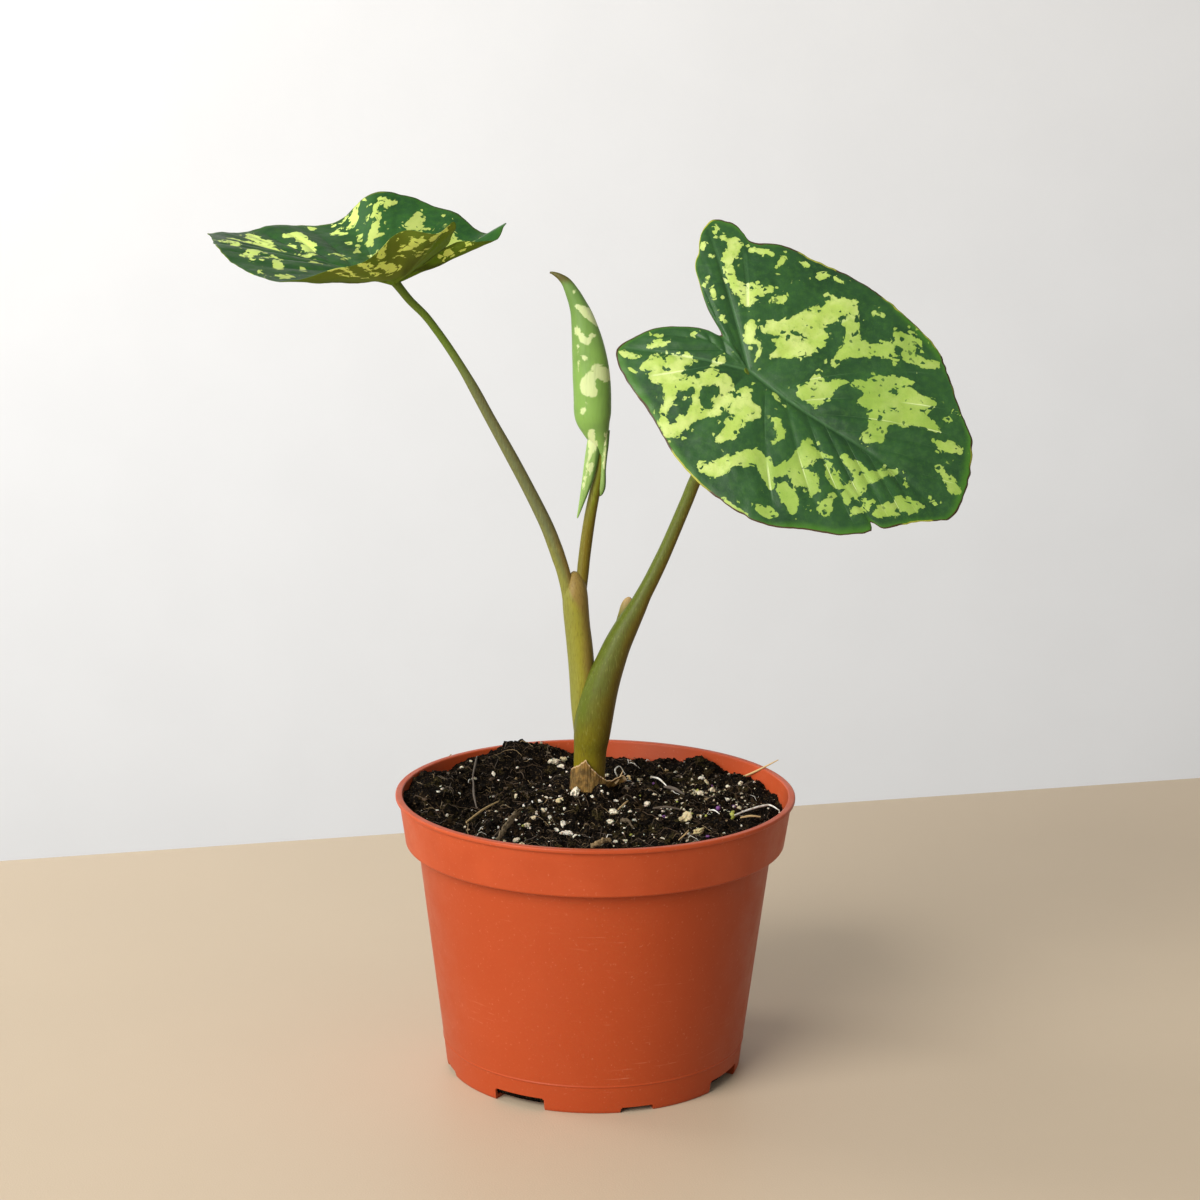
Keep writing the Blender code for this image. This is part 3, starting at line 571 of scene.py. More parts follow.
# Grains big enough to be known one by one: x, y, radius and how creamy
PERLITE_GRAINS = (
    (-8.3, 6.4, 2.4, 0.2), (-5.0, 4.0, 1.2, 0.1), (8.0, 3.5, 1.3, 0.1), (5.0, 3.4, 0.9, 0.2),
    (-17.6, 48.0, 3.0, 0.45), (-14.5, 45.0, 1.5, 0.3), (-14.0, 54.0, 1.6, 0.8),
    (-12.5, -29.0, 1.6, 0.1), (-10.7, -37.4, 1.7, 0.05), (-7.7, -41.4, 1.5, 0.2),
    (-15.0, -33.5, 1.1, 0.1), (-13.0, -41.0, 0.9, 0.1), (36.2, -18.1, 2.8, 0.85),
    (34.0, -21.0, 1.3, 0.9), (40.2, -36.6, 2.5, 1.0), (37.6, -38.5, 1.1, 0.8),
    (-50.2, 28.7, 2.4, 0.05), (-42.3, 35.6, 1.2, 0.1), (-58.7, -15.0, 1.1, 0.1),
    (-27.9, -59.0, 2.2, 0.75), (-30.2, -47.0, 1.4, 0.4), (-52.2, 47.8, 0.8, 0.0),
    (-56.0, 41.3, 0.9, 0.3), (-58.0, 41.5, 0.7, 0.3), (-32.3, 8.0, 1.3, 0.6),
    (-22.3, 2.0, 1.0, 0.1), (-19.8, 4.0, 0.9, 0.2), (-17.8, -18.0, 1.0, 0.0),
    (-21.0, -10.4, 1.5, 0.6), (-26.9, -28.6, 1.5, 0.5), (-14.2, -0.5, 1.5, 0.85),
    (-24.2, -20.0, 1.4, 0.45), (21.0, 6.0, 1.8, 0.25), (44.0, 40.4, 1.6, 0.0),
    (46.2, 37.0, 1.5, 0.8), (43.0, 15.0, 2.0, 0.45), (47.8, 18.8, 1.4, 0.5), (53.4, 14.0, 1.1, 0.0),
    (38.5, 8.0, 0.9, 0.0), (57.9, 2.2, 1.2, 0.7), (7.2, -9.0, 2.5, 0.3), (6.3, -14.0, 1.9, 0.35),
    (11.6, -45.8, 1.4, 0.6), (2.9, -50.0, 1.4, 0.1), (7.9, -51.6, 0.9, 0.1),
    (26.0, -44.5, 1.3, 0.2), (12.8, -64.5, 1.3, 0.0), (17.9, 35.7, 1.2, 0.7),
    (11.9, -32.5, 0.9, 0.2), (49.8, -38.8, 0.8, 0.1), (4.0, 40.0, 1.8, 0.5), (9.0, 42.0, 1.4, 0.6),
    (55.0, 33.0, 1.5, 0.3), (60.0, 30.0, 1.4, 0.5), (14.0, -8.0, 1.1, 0.3), (15.5, -20.0, 1.2, 0.2),
)
grains, places = strewn_lumps(
    "perlite_grains", 31, 780, sizes=(0.15, 0.85), power=2.2, sink=0.4, proportions=(1.2, 0.8, 0.7),
    ragged=0.44, detail=2, sharp=14, crowd=perlite_crowd,
)
carry_each(grains, "cream", [heaped(x, y, PERLITE_STAIN) for x, y, z in places])
perlite_finish = perlite()
hang(grains, "potting_mix", perlite_finish)
places = [(x, y, crumbled(x, y) + 0.35 * radius) for x, y, radius, cream in PERLITE_GRAINS]
sizes = [radius for x, y, radius, cream in PERLITE_GRAINS]
lumps = scatter("perlite_lumps", places, sizes, (1.15, 0.8, 0.65), 0.36, 3, 33, sharp=16)
carry_each(lumps, "cream", [cream for x, y, radius, cream in PERLITE_GRAINS])
hang(lumps, "potting_mix", perlite_finish)

# Tones of bark and old fibre, from the darkest flake to dry straw
BARK_TONES = (
    (0.0, (0.040, 0.024, 0.013)), (0.5, (0.085, 0.052, 0.028)),
    (0.7, (0.110, 0.088, 0.070)), (0.8, (0.17, 0.125, 0.070)),
    (0.9, (0.34, 0.23, 0.11)), (1.0, (0.62, 0.43, 0.20)),
)


def bark():
    finish, shader, where = new_finish("bark and old fibre", 0.75, 0.25)
    tint = measure(where, "tint")
    tones = put(where, "ShaderNodeValToRGB", {"Fac": tint})
    stops = tones.color_ramp.elements
    for spot, colour in BARK_TONES[1:-1]:
        stops.new(spot)
    for stop, (spot, colour) in zip(stops, BARK_TONES, strict=True):
        stop.color = (*colour, 1.0)
    dirt = ramp(grain(where, 1000.0, 4.0, 0.65), 0.50, 0.68, 0.0, 0.6)
    dirt = times(dirt, ramp(tint, 1.0, 0.85, 0.25, 1.0))
    base = blend(dirt, tones.outputs[0], SOIL_BROWN)
    feed(shader, "Base Color", base)
    raise_with(shader, grain(where, 1500.0, 4.0, 0.7), 0.0004, 0.9)
    return finish


bark_finish = bark()
chips = strewn_lumps(
    "bark_chips", 41, 150, sizes=(0.6, 1.9), power=2.2, sink=0.1, proportions=(1.2, 0.6, 0.3),
    ragged=0.5, detail=2, sharp=12, lie_flat=True,
)[0]
hang(chips, "potting_mix", bark_finish)


def side_frames(path):
    """Unit tangents along a path, and two directions across it that turn as little as they can."""
    path = np.asarray(path, float)
    ways = np.gradient(path, axis=0)
    ways /= np.linalg.norm(ways, axis=1)[:, None]
    side = np.cross(ways[0], (0.0, 1.0, 0.0))
    if np.linalg.norm(side) < 0.1:
        side = np.cross(ways[0], (1.0, 0.0, 0.0))
    sides = []
    for way in ways:
        side = side - way * side.dot(way)
        side = side / np.linalg.norm(side)
        sides.append(side)
    sides = np.array(sides)
    return ways, sides, np.cross(ways, sides)


def closed_quads(start, rings, count):
    """Quads between rings, with a face over the first ring and one over the last."""
    last = start + (rings - 1) * count
    ends = [tuple(start + i for i in reversed(range(count))), tuple(last + i for i in range(count))]
    return ring_quads(start, rings, count) + ends


def tube(path, radii, count, flatness, start):
    """Points and faces of a round or flattened rod along a path, closed at both ends."""
    path = np.asarray(path, float)
    ways, sides, others = side_frames(path)
    turns = np.linspace(0, math.tau, count, endpoint=False)
    reach = np.asarray(radii, float)[:, None, None]
    rings = path[:, None, :] + reach * (
        np.cos(turns)[None, :, None] * sides[:, None, :]
        + flatness * np.sin(turns)[None, :, None] * others[:, None, :]
    )
    return list(rings.reshape(-1, 3)), closed_quads(start, len(path), count)


def spline_point(a, b, c, d, t):
    """The point between b and c, at t from 0 to 1, of a Catmull-Rom curve through all four."""
    return 0.5 * (
        2 * b + (c - a) * t + (2 * a - 5 * b + 4 * c - d) * t * t + (3 * b - a - 3 * c + d) * t**3
    )


def smooth(controls, steps):
    """A curve through the controls, with the same number of steps in each span."""
    controls = np.asarray(controls, float)
    ends = np.concatenate([controls[:1], controls, controls[-1:]])
    run = [
        spline_point(*ends[i:i + 4], step / steps)
        for i in range(len(controls) - 1) for step in range(steps)
    ]
    return np.array(run + [controls[-1]])


def rod(rows, steps, count, flatness):
    """A rod's path, radii, sides and flatness, from its rows of x, y, z and radius."""
    run = smooth(rows, steps)
    return run[:, :3], run[:, 3], count, flatness


# Old roots, straws and strips that can be told apart: tint, flatness, then x, y, z and radius
STRAWS = (
    (1.00, 0.7, ((60, 44, 106.0, 0.35), (67, 37, 111.4, 0.45), (75, 28, 118.6, 0.2))),
    (0.97, 0.6, ((-50, -35, 109.8, 0.35), (-44, -21, 110.8, 0.48), (-38.5, -8, 110.4, 0.25))),
    (0.70, 0.6, ((-50, 52, 112.2, 0.5), (-50, 38, 112.8, 0.8), (-50.5, 27, 110.6, 0.5),
                 (-49.6, 14, 111.2, 0.6), (-48.8, 0, 110.8, 0.75), (-47, -14, 109.4, 0.35))),
    (0.93, 0.6, ((-63, 47, 110.2, 0.35), (-62, 51, 111.6, 0.4), (-61, 54, 112.6, 0.2))),
    (0.70, 0.6, ((28, 18, 109.6, 0.5), (32, 13, 110.2, 0.8), (36, 9, 109.0, 0.4))),
    (0.66, 0.6, ((23, -11, 109.0, 0.3), (28, -13, 110.2, 0.45), (34, -13, 109.2, 0.3))),
    (0.97, 0.5, ((57, -23, 109.0, 0.3), (61, -22.5, 109.6, 0.45), (65, -21.5, 109.0, 0.25))),
    (0.95, 0.6, ((32, -52, 108.6, 0.2), (35, -49, 110.4, 0.35), (36, -46, 110.8, 0.2))),
    (0.95, 0.6, ((9, -18, 110.4, 0.25), (11.5, -14, 111.6, 0.4), (13, -11, 112.0, 0.2))),
)
# Planks and flakes of bark: tint, flatness, then x, y, z and radius
BARK_STRIPS = (
    (0.79, 0.35, ((-37.0, -58, 109.4, 0.8), (-35.4, -49, 110.2, 1.1), (-33.2, -38, 110.8, 1.15),
                  (-31.2, -29, 111.0, 1.1), (-30.4, -24, 110.8, 0.8))),
    (0.87, 0.4, ((-1, -61, 108.6, 0.7), (2, -59, 109.6, 1.2), (6, -54, 109.2, 0.8))),
    (0.76, 0.4, ((10, -29, 109.0, 0.5), (12, -32, 110.2, 0.9), (14.5, -35, 109.0, 0.5))),
)
# Live roots that surface here and there: x, y, z and radius
WHITE_ROOTS = (
    ((55, -20, 109.2, 0.25), (61, -15, 110.0, 0.42), (67, -10, 110.2, 0.45), (70, -9, 110.0, 0.35),
     (73, -14, 109.4, 0.18)),
    ((23, 30, 110.2, 0.28), (26, 24, 111.2, 0.45), (29, 17, 110.2, 0.25)),
    ((45, -14, 109.2, 0.15), (47, -17, 110.2, 0.35), (49, -20, 109.6, 0.15)),
    ((9, 31, 110.0, 0.2), (8, 33, 112.3, 0.35), (10, 36, 113.0, 0.28), (12, 32, 111.0, 0.2)),
)


def joined_rods(name, rods, tints):
    """Rods, each a path with its radii, as one piece that carries the tint of each."""
    points, faces, tint = [], [], []
    for (path, radii, count, flatness), shade in zip(rods, tints):
        made, made_faces = tube(path, radii, count, flatness, len(points))
        points += made
        faces += made_faces
        tint += [shade] * len(made)
    piece = new_piece(name, points, faces, 60)
    carry(piece, "tint", tint)
    return piece


def lying_rods(count, longest, thickest, seed):
    """Fine old roots that lie and arch over the surface."""
    dice = np.random.default_rng(seed)
    rods = []
    while len(rods) < count:
        x, y = dice.uniform(-72, 72, 2)
        from_stem = math.hypot(x - STEM_FOOT[0], y - STEM_FOOT[1])
        if math.hypot(x, y) > 71 or from_stem < STEM_CLEAR + 1.5:
            continue
        heading = dice.uniform(0, math.tau)
        length = longest * dice.uniform(0.25, 1.0)
        arch = dice.uniform(0.0, 1.2)
        path = []
        for step in range(9):
            heading += dice.normal(0, 0.22)
            x += math.cos(heading) * length / 8
            y += math.sin(heading) * length / 8
            if math.hypot(x, y) > 74.5:
                break
            path.append((x, y, crumbled(x, y) + 0.15 + arch * math.sin(math.pi * step / 8)))
        if len(path) < 5:
            continue
        thick = thickest * dice.uniform(0.4, 1.0)
        radii = thick * np.sin(np.linspace(0.35, math.pi - 0.35, len(path)))
        rods.append((path, radii, 5, 0.8))
    return rods


def torn_strips(name, strips, seed):
    """Short strips with ragged sides and blunt torn ends."""
    noise.seed_set(seed)
    rods = [rod(rows, 9, 20, flatness) for tint, flatness, rows in strips]
    piece = joined_rods(name, rods, [tint for tint, flatness, rows in strips])
    for vert in piece.data.vertices:
        spot = vert.co / MM
        push = 0.7 * noise.noise_vector(spot / 2.1) + 0.4 * noise.noise_vector(spot / 0.8)
        vert.co += (push + 0.3 * noise.noise_vector(spot / 0.4)) * MM
    piece.data.shade_flat()
    return piece


straws = [rod(rows, 6, 10, flatness) for tint, flatness, rows in STRAWS]
tints = [tint for tint, flatness, rows in STRAWS]
roots = lying_rods(230, 17.0, 0.2, 51) + lying_rods(520, 6.0, 0.13, 54)
tints += list(np.random.default_rng(52).uniform(0.0, 0.9, len(roots)))
fibres = joined_rods("straws_and_old_roots", straws + roots, tints)
hang(fibres, "potting_mix", bark_finish)
strips = torn_strips("bark_strips", BARK_STRIPS, 61)
hang(strips, "potting_mix", bark_finish)


ROOT_WHITE = (0.80, 0.78, 0.72)
ROOT_TAN = (0.46, 0.40, 0.30)


def pale_root():
    finish, shader, where = new_finish("pale live root", 0.5, 0.5)
    tan = ramp(grain(where, 700.0, 3.0), 0.4, 0.7)
    base = blend(tan, ROOT_WHITE, ROOT_TAN)
    feed(shader, "Base Color", base)
    raise_with(shader, grain(where, 1500.0, 3.0), 0.0001)
    return finish


rods = [rod(rows, 6, 10, 0.8) for rows in WHITE_ROOTS] + lying_rods(16, 7.0, 0.2, 55)
white_roots = joined_rods("white_roots", rods, [0.5] * len(rods))
hang(white_roots, "potting_mix", pale_root())

GRIT_VIOLET = (0.17, 0.05, 0.22)
GRIT_GREEN = (0.36, 0.38, 0.06)


def coloured_grit():
    """Slow-release grains and moss bits: a few violet ones, the rest yellowish green."""
    finish, shader, where = new_finish("coloured grit", 0.6, 0.5)
    pick = ramp(measure(where, "tint"), 0.30, 0.32)
    base = blend(pick, GRIT_VIOLET, GRIT_GREEN)
    dirt = ramp(grain(where, 1200.0, 3.0), 0.5, 0.7, 0.0, 0.6)
    base = blend(dirt, base, SOIL_BROWN)
    feed(shader, "Base Color", base)
    return finish


# Where they lie: x, y and radius
GRIT = (
    (38, -10, 1.7), (49, -8, 1.2), (54.2, -11.5, 1.9), (43.7, -40, 1.2), (45.2, -50, 1.1),
    (42.6, -49.5, 0.8), (47, -54, 0.8), (27.3, -17.5, 1.0), (44, -14, 0.8), (56, 5, 0.9),
    (-2, 30, 0.7), (42, 24, 0.9), (37, 30, 0.8), (55, -4, 1.0), (-28, -30, 0.7), (24, 32, 0.9),
    (48, 30, 0.8), (14, -36, 0.8), (33, 5, 0.7), (-6, -22, 0.9), (18, 12, 0.6),
)
places = [(x, y, crumbled(x, y) + 0.5 * radius) for x, y, radius in GRIT]
sizes = [radius for x, y, radius in GRIT]
grit = scatter("coloured_grit", places, sizes, (1.0, 0.8, 0.7), 0.15, 2, 62)
hang(grit, "potting_mix", coloured_grit())

# ---- Corm
# The plant's swollen base, sunk in the mix and out of sight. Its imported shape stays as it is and
# only gets its skin: brown, dull and ringed where old leaves stood.

CORM_DARK = (0.10, 0.055, 0.028)
CORM_LIGHT = (0.26, 0.17, 0.09)


def corm_skin():
    finish, shader, where = new_finish("corm skin", 0.8, 0.3)
    ring = grain(stretched(where, 60.0, 700.0), 1.0, 4.0)
    base = blend(ramp(ring, 0.4, 0.65), CORM_DARK, CORM_LIGHT)
    feed(shader, "Base Color", base)
    raise_with(shader, ring, 0.0006)
    return finish


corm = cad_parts["corm"]
corm.data.materials.clear()
corm.data.materials.append(corm_skin())

# ---- Papery sheath
# The dry skin of a fallen leaf, still wrapped round the stem's foot: thin as paper, veined, split
# down its side, with a torn pale rim that peaks in front and folds out over the mix at the right.

PAPER_FOOT = 103.2
PAPER_RADIUS = 7.5
# Rim by azimuth from the front: height above the foot, and how far it stands out
PAPER_RIM = (
    (-150, 9.0, 0.2), (-120, 11.2, 0.0), (-92, 14.2, -0.6), (-70, 15.5, -0.5), (-45, 17.0, -0.3),
    (-22, 19.0, -0.1), (-10, 20.2, 0.2), (0, 18.0, 0.1), (20, 15.2, 0.1), (43, 12.5, 0.5),
    (55, 11.4, 1.2), (64, 11.0, 2.2), (73, 11.6, 4.0), (81, 12.2, 6.6), (87, 9.8, 7.8),
    (94, 8.2, 3.5), (104, 7.6, 1.2), (126, 7.5, 0.6), (165, 7.0, 0.3),
)
PAPER_ROWS = 26
PAPER_THICKNESS = 0.25
PAPER_DARK = (0.100, 0.058, 0.015)
PAPER_TAN = (0.275, 0.155, 0.038)
PAPER_VEIN = (0.060, 0.036, 0.015)
PAPER_EARTHY = (0.035, 0.020, 0.011)
PAPER_EDGE_AND_HIGHLIGHT = (0.50, 0.34, 0.18)


def paper_wrap():
    first = (PAPER_RIM[0][0] + 360, *PAPER_RIM[0][1:])
    rim = smooth((*PAPER_RIM, first), 14)[:-1]
    points, rise_share = [], []
    for row in range(PAPER_ROWS + 1):
        share = row / PAPER_ROWS
        for azimuth, rise, flare in rim:
            turn = math.radians(azimuth - 90)
            out = Vector((math.cos(turn), math.sin(turn), 0.0))
            ragged = 0.5 * noise.noise(Vector((azimuth / 5.0, 1.3, 0.0)))
            height = share * (rise + ragged)
            wrinkle = 0.60 * noise.noise(Vector((azimuth / 15.0, share * 2.2, 4.0)))
            wrinkle += 0.28 * noise.noise(Vector((azimuth / 4.5, share * 3.4, 9.0)))
            radius = PAPER_RADIUS + 0.3 * math.sin(share * math.pi) + flare * share**5 + wrinkle
            base = Vector((*STEM_FOOT, PAPER_FOOT + height))
            points.append(tuple(base + out * radius))
            rise_share.append(share)
    piece = new_piece("papery_wrap", points, ring_quads(0, PAPER_ROWS + 1, len(rim)))
    carry(piece, "rise", rise_share)
    thick = piece.modifiers.new("paper thickness", "SOLIDIFY")
    thick.thickness = PAPER_THICKNESS * MM
    thick.offset = 0.0
    settle(piece)
    return piece


def dry_paper():
    finish, shader, where = new_finish("dry papery skin", 0.7, 0.22)
    vein = grain(stretched(where, 1100.0, 170.0), 1.0, 4.0, 0.65, 0.4)
    stain = grain(where, 260.0, 4.0, 0.65)
    base = blend(ramp(stain, 0.36, 0.66), PAPER_DARK, PAPER_TAN)
    base = blend(ramp(vein, 0.50, 0.70, 0.0, 0.6), base, PAPER_VEIN)
    rise = measure(where, "rise")
    low = ramp(plus(rise, times(stain, 0.5)), 0.62, 0.38)
    base = blend(low, base, PAPER_EARTHY)
    # The top edge is paler: partly the torn rim's own tone, partly a painted highlight along it
    base = blend(ramp(rise, 0.955, 0.99), base, PAPER_EDGE_AND_HIGHLIGHT)
    feed(shader, "Base Color", base)
    soften(shader, 0.1, 0.0008)
    raise_with(shader, plus(vein, stain), 0.0006, 0.9)
    return finish


paper = paper_wrap()
paper_finish = dry_paper()
hang(paper, "dry_sheath", paper_finish, "papery_sheath")
# A torn strand of the same skin that stands up beside the fold: x, y, z and radius
STRAND = ((8.0, 13.0, 112.2, 0.5), (9.5, 13.5, 114.0, 0.35), (11.2, 14.5, 117.5, 0.12))
strand = joined_rods("torn_strand", [rod(STRAND, 6, 10, 0.4)], [1.0])
carry(strand, "rise", [1.0] * len(strand.data.vertices))
hang(strand, "dry_sheath", paper_finish)

# ---- Stems
# Three fleshy stalks, smooth and round. The foot of each opens into a sheath that wraps the next
# younger one: the right stalk holds the left, and the left holds the newest.

# Centre lines as x, y, z and radius
RIGHT_STALK = (
    (-2.6, 15.0, 99.0, 6.3), (-2.6, 15.0, 112.0, 6.4), (-2.3, 15.0, 124.8, 6.6),
    (-1.65, 14.0, 132.5, 7.35), (-0.75, 13.5, 140.1, 7.65), (0.75, 13.0, 147.6, 7.35),
    (2.85, 12.7, 155.2, 6.75), (5.45, 12.5, 162.6, 6.05), (8.25, 12.8, 169.9, 5.45),
    (11.8, 13.5, 177.2, 4.8), (15.7, 14.5, 184.3, 3.85), (18.5, 15.1, 190.0, 3.25),
    (21.3, 15.7, 195.4, 3.05), (25.0, 16.3, 203.2, 2.9), (28.6, 16.8, 211.4, 2.7),
    (35.3, 17.0, 228.0, 2.55), (38.6, 16.4, 236.7, 2.5), (44.9, 14.0, 251.1, 2.3),
    (51.9, 10.0, 267.6, 2.0), (57.0, 5.6, 279.6, 1.9), (58.4, 4.2, 281.8, 1.9),
)
LEFT_STALK = (
    (-9.0, 16.2, 170.0, 2.4), (-9.8, 16.2, 178.0, 2.8), (-10.8, 16.3, 185.5, 2.85),
    (-11.7, 16.4, 191.0, 2.75), (-12.8, 16.5, 195.8, 2.7), (-14.1, 16.5, 200.6, 2.7),
    (-15.6, 16.5, 205.0, 2.8), (-17.1, 16.5, 209.3, 2.8), (-20.8, 16.5, 218.6, 2.65),
    (-27.7, 16.5, 232.5, 2.45), (-35.0, 16.0, 246.3, 2.35), (-42.6, 15.5, 260.1, 2.1),
    (-48.7, 15.0, 271.5, 2.0), (-53.6, 14.5, 280.1, 1.7), (-58.7, 14.0, 288.2, 1.6),
    (-63.5, 13.3, 295.2, 1.55), (-68.3, 12.6, 301.5, 1.55), (-73.9, 11.5, 307.2, 1.6),
    (-78.0, 10.4, 312.4, 1.7), (-79.6, 10.1, 314.6, 2.0),
)
# Its sheath, which rounds off into a soft lip where the newest stalk leaves it
LEFT_SHEATH = (
    (-3.8, 15.4, 122.0, 3.9), (-4.5, 15.4, 131.0, 4.2), (-5.3, 15.5, 139.7, 4.45),
    (-5.6, 16.0, 147.1, 4.85), (-5.8, 16.3, 154.5, 5.1), (-6.2, 16.5, 161.5, 5.25),
    (-6.9, 16.5, 168.9, 5.25), (-7.8, 16.5, 176.4, 5.15), (-8.5, 16.5, 183.6, 5.2),
    (-8.8, 16.7, 189.0, 5.1), (-8.7, 17.1, 193.0, 4.4), (-8.9, 17.5, 195.8, 3.4),
    (-9.1, 17.7, 197.8, 2.3), (-9.2, 17.8, 198.7, 1.2), (-9.2, 17.8, 198.9, 0.3),
)
NEW_STALK = (
    (-6.6, 17.2, 170.8, 1.8), (-6.6, 17.6, 183.0, 2.0), (-6.3, 18.0, 191.0, 2.1),
    (-5.8, 18.3, 198.8, 2.4), (-5.3, 18.3, 204.4, 2.4), (-4.2, 18.0, 213.8, 2.4),
    (-2.8, 17.6, 223.3, 2.3), (-0.9, 17.0, 233.4, 2.1), (0.6, 16.5, 240.6, 1.8),
    (1.4, 16.0, 249.5, 1.5),
)
# The free dry tip of the right stalk's sheath
RIGHT_TIP = (
    (3.6, 15.8, 167.0, 0.5), (6.6, 16.3, 172.4, 1.2), (9.2, 16.8, 177.2, 2.0),
    (10.9, 17.0, 181.2, 2.5), (11.9, 17.1, 184.6, 2.55), (12.5, 17.1, 187.0, 2.0),
    (12.8, 17.1, 188.3, 1.1), (12.9, 17.1, 188.8, 0.35),
)
STALK_SIDES = 44
# The right sheath's margins: where they start and end, and how thick their lips are
MARGIN_LOW, MARGIN_HIGH = 128.0, 170.0
SHEATH_LIP = 0.3
# Where the left sheath's mouth is driest, and how far that reaches in X, Y and Z
MOUTH_TOP = (-6.6, 13.5, 196.0)
MOUTH_REACH = (5.0, 10.0, 9.5)
STALK_FRECKLE = (0.075, 0.042, 0.012)
STALK_PALE = (0.36, 0.36, 0.11)
STALK_HIGH = (0.110, 0.180, 0.014)
STALK_DRY = (0.40, 0.265, 0.12)


def stalk_rod(rows):
    return rod(rows, 7, STALK_SIDES, 1.0)


def sheath_margin(toward):
    """A thin lip where the right stalk's skin meets the left sheath's, in front or behind."""
    right, left = smooth(RIGHT_STALK, 12), smooth(LEFT_SHEATH, 12)
    edge = []
    for height in np.linspace(MARGIN_LOW, MARGIN_HIGH, 40):
        a = np.array([np.interp(height, right[:, 2], right[:, i]) for i in (0, 1, 3)])
        b = np.array([np.interp(height, left[:, 2], left[:, i]) for i in (0, 1, 3)])
        gap = b[:2] - a[:2]
        apart = np.linalg.norm(gap)
        along = (apart**2 + a[2] ** 2 - b[2] ** 2) / (2 * apart)
        if abs(along) >= a[2]:
            continue
        across = math.sqrt(a[2] ** 2 - along**2)
        normal = np.array([-gap[1], gap[0]]) / apart
        if normal[1] * toward > 0:
            normal = -normal
        spot = a[:2] + gap / apart * along + normal * across
        edge.append((spot[0], spot[1], height))
    lip = SHEATH_LIP * np.sin(np.linspace(0.2, math.pi - 0.5, len(edge)))
    return edge, lip, 10, 1.0


def stalk_marks(piece, rows):
    """How far each point lies towards the left of its stalk, from -1 to 1."""
    run = smooth(rows, 12)
    points = np.empty(len(piece.data.vertices) * 3)
    piece.data.vertices.foreach_get("co", points)
    points = points.reshape(-1, 3) / MM
    centre_x = np.interp(points[:, 2], run[:, 2], run[:, 0])
    radius = np.interp(points[:, 2], run[:, 2], run[:, 3])
    carry(piece, "leftward", (centre_x - points[:, 0]) / radius)


def stalk_skin(name, foot, top, lit_side_tone, shaded_side_tone, heights, freckles, upper):
    """Smooth living skin: one tone at the foot and one above, with painted light on its left side
    and painted shade on its right, in greener and warmer tones.
    upper is the share of the side tones that is left high up."""
    finish, shader, where = new_finish(name, 0.42, 0.14)
    height = put(where, "ShaderNodeSeparateXYZ", {0: where}).outputs[2]
    cloud = grain(where, 90.0, 3.0)
    shifted = plus(height, times(minus(cloud, 0.5), 0.03))
    base = blend(ramp(shifted, *heights), foot, top)
    side = plus(measure(where, "leftward"), times(cloud, 0.5))
    # Painted light on the left side and painted shade on the right, both fading higher up
    lit = times(ramp(side, 0.15, 1.05, 0.0, 0.85), ramp(height, 0.126, 0.146))
    fading = ramp(height, 0.196, 0.225, 1.0, upper)
    base = blend(times(lit, fading), base, lit_side_tone)
    shaded = times(ramp(side, 0.3, -0.55, 0.0, 0.85), fading)
    base = blend(shaded, base, shaded_side_tone)
    streak = grain(stretched(where, 2100.0, 330.0), 1.0, 3.0, 0.6)
    base = blend(ramp(streak, 0.50, 0.70, 0.0, freckles), base, STALK_FRECKLE)
    base = blend(ramp(streak, 0.44, 0.28, 0.0, 0.22), base, STALK_PALE)
    base = blend(ramp(height, 0.266, 0.296, 0.0, 0.85), base, STALK_HIGH)
    base = blend(ramp(measure(where, "dry"), 0.25, 0.95), base, STALK_DRY)
    feed(shader, "Base Color", base)
    soften(shader, 0.12, 0.0012, (0.8, 1.0, 0.3))
    raise_with(shader, streak, 0.00012, 0.6)
    return finish


def stalk_piece(name, rods, rows, dryness):
    """One stalk with its sheath and margins joined to it; dryness tells each rod's dry share."""
    piece = joined_rods(name, rods, [0.5] * len(rods))
    stalk_marks(piece, rows)
    dry = []
    for (path, radii, count, flatness), levels in zip(rods, dryness):
        if levels:
            dry += list(np.repeat(np.interp(np.linspace(0, 1, len(path)), (0, 1), levels), count))
        else:
            ring = np.repeat(np.asarray(path), count, axis=0)
            away = np.linalg.norm((ring - MOUTH_TOP) / MOUTH_REACH, axis=1)
            dry += list(0.52 * np.clip(1.0 - away, 0, 1))
    carry(piece, "dry", dry)
    return piece


# The right stalk's sheath margins meet round the left stalk and end in the free tip
right_rods = [
    stalk_rod(RIGHT_STALK), sheath_margin(1.0), sheath_margin(-1.0), rod(RIGHT_TIP, 6, 24, 0.6),
]
right_stalk = stalk_piece(
    "stalk_right", right_rods, RIGHT_STALK, ((0, 0), (0.3, 0.5), (0.3, 0.5), (0.1, 0.95)),
)
right_skin = stalk_skin(
    "green stalk", foot=(0.175, 0.140, 0.005), top=(0.096, 0.106, 0.020),
    lit_side_tone=(0.088, 0.120, 0.010), shaded_side_tone=(0.150, 0.102, 0.011), heights=(0.112, 0.165),
    freckles=0.40, upper=0.8,
)
hang(right_stalk, "green_petiole", right_skin, "petiole_right")

left_rods = [stalk_rod(LEFT_SHEATH), stalk_rod(LEFT_STALK)]
left_stalk = stalk_piece("stalk_left", left_rods, LEFT_SHEATH[:9] + LEFT_STALK[3:], (None, None))
left_skin = stalk_skin(
    "olive stalk", foot=(0.262, 0.240, 0.026), top=(0.120, 0.133, 0.058),
    lit_side_tone=(0.205, 0.205, 0.042), shaded_side_tone=(0.245, 0.155, 0.042), heights=(0.175, 0.218),
    freckles=0.35, upper=0.25,
)
hang(left_stalk, "olive_petiole", left_skin, "petiole_left")

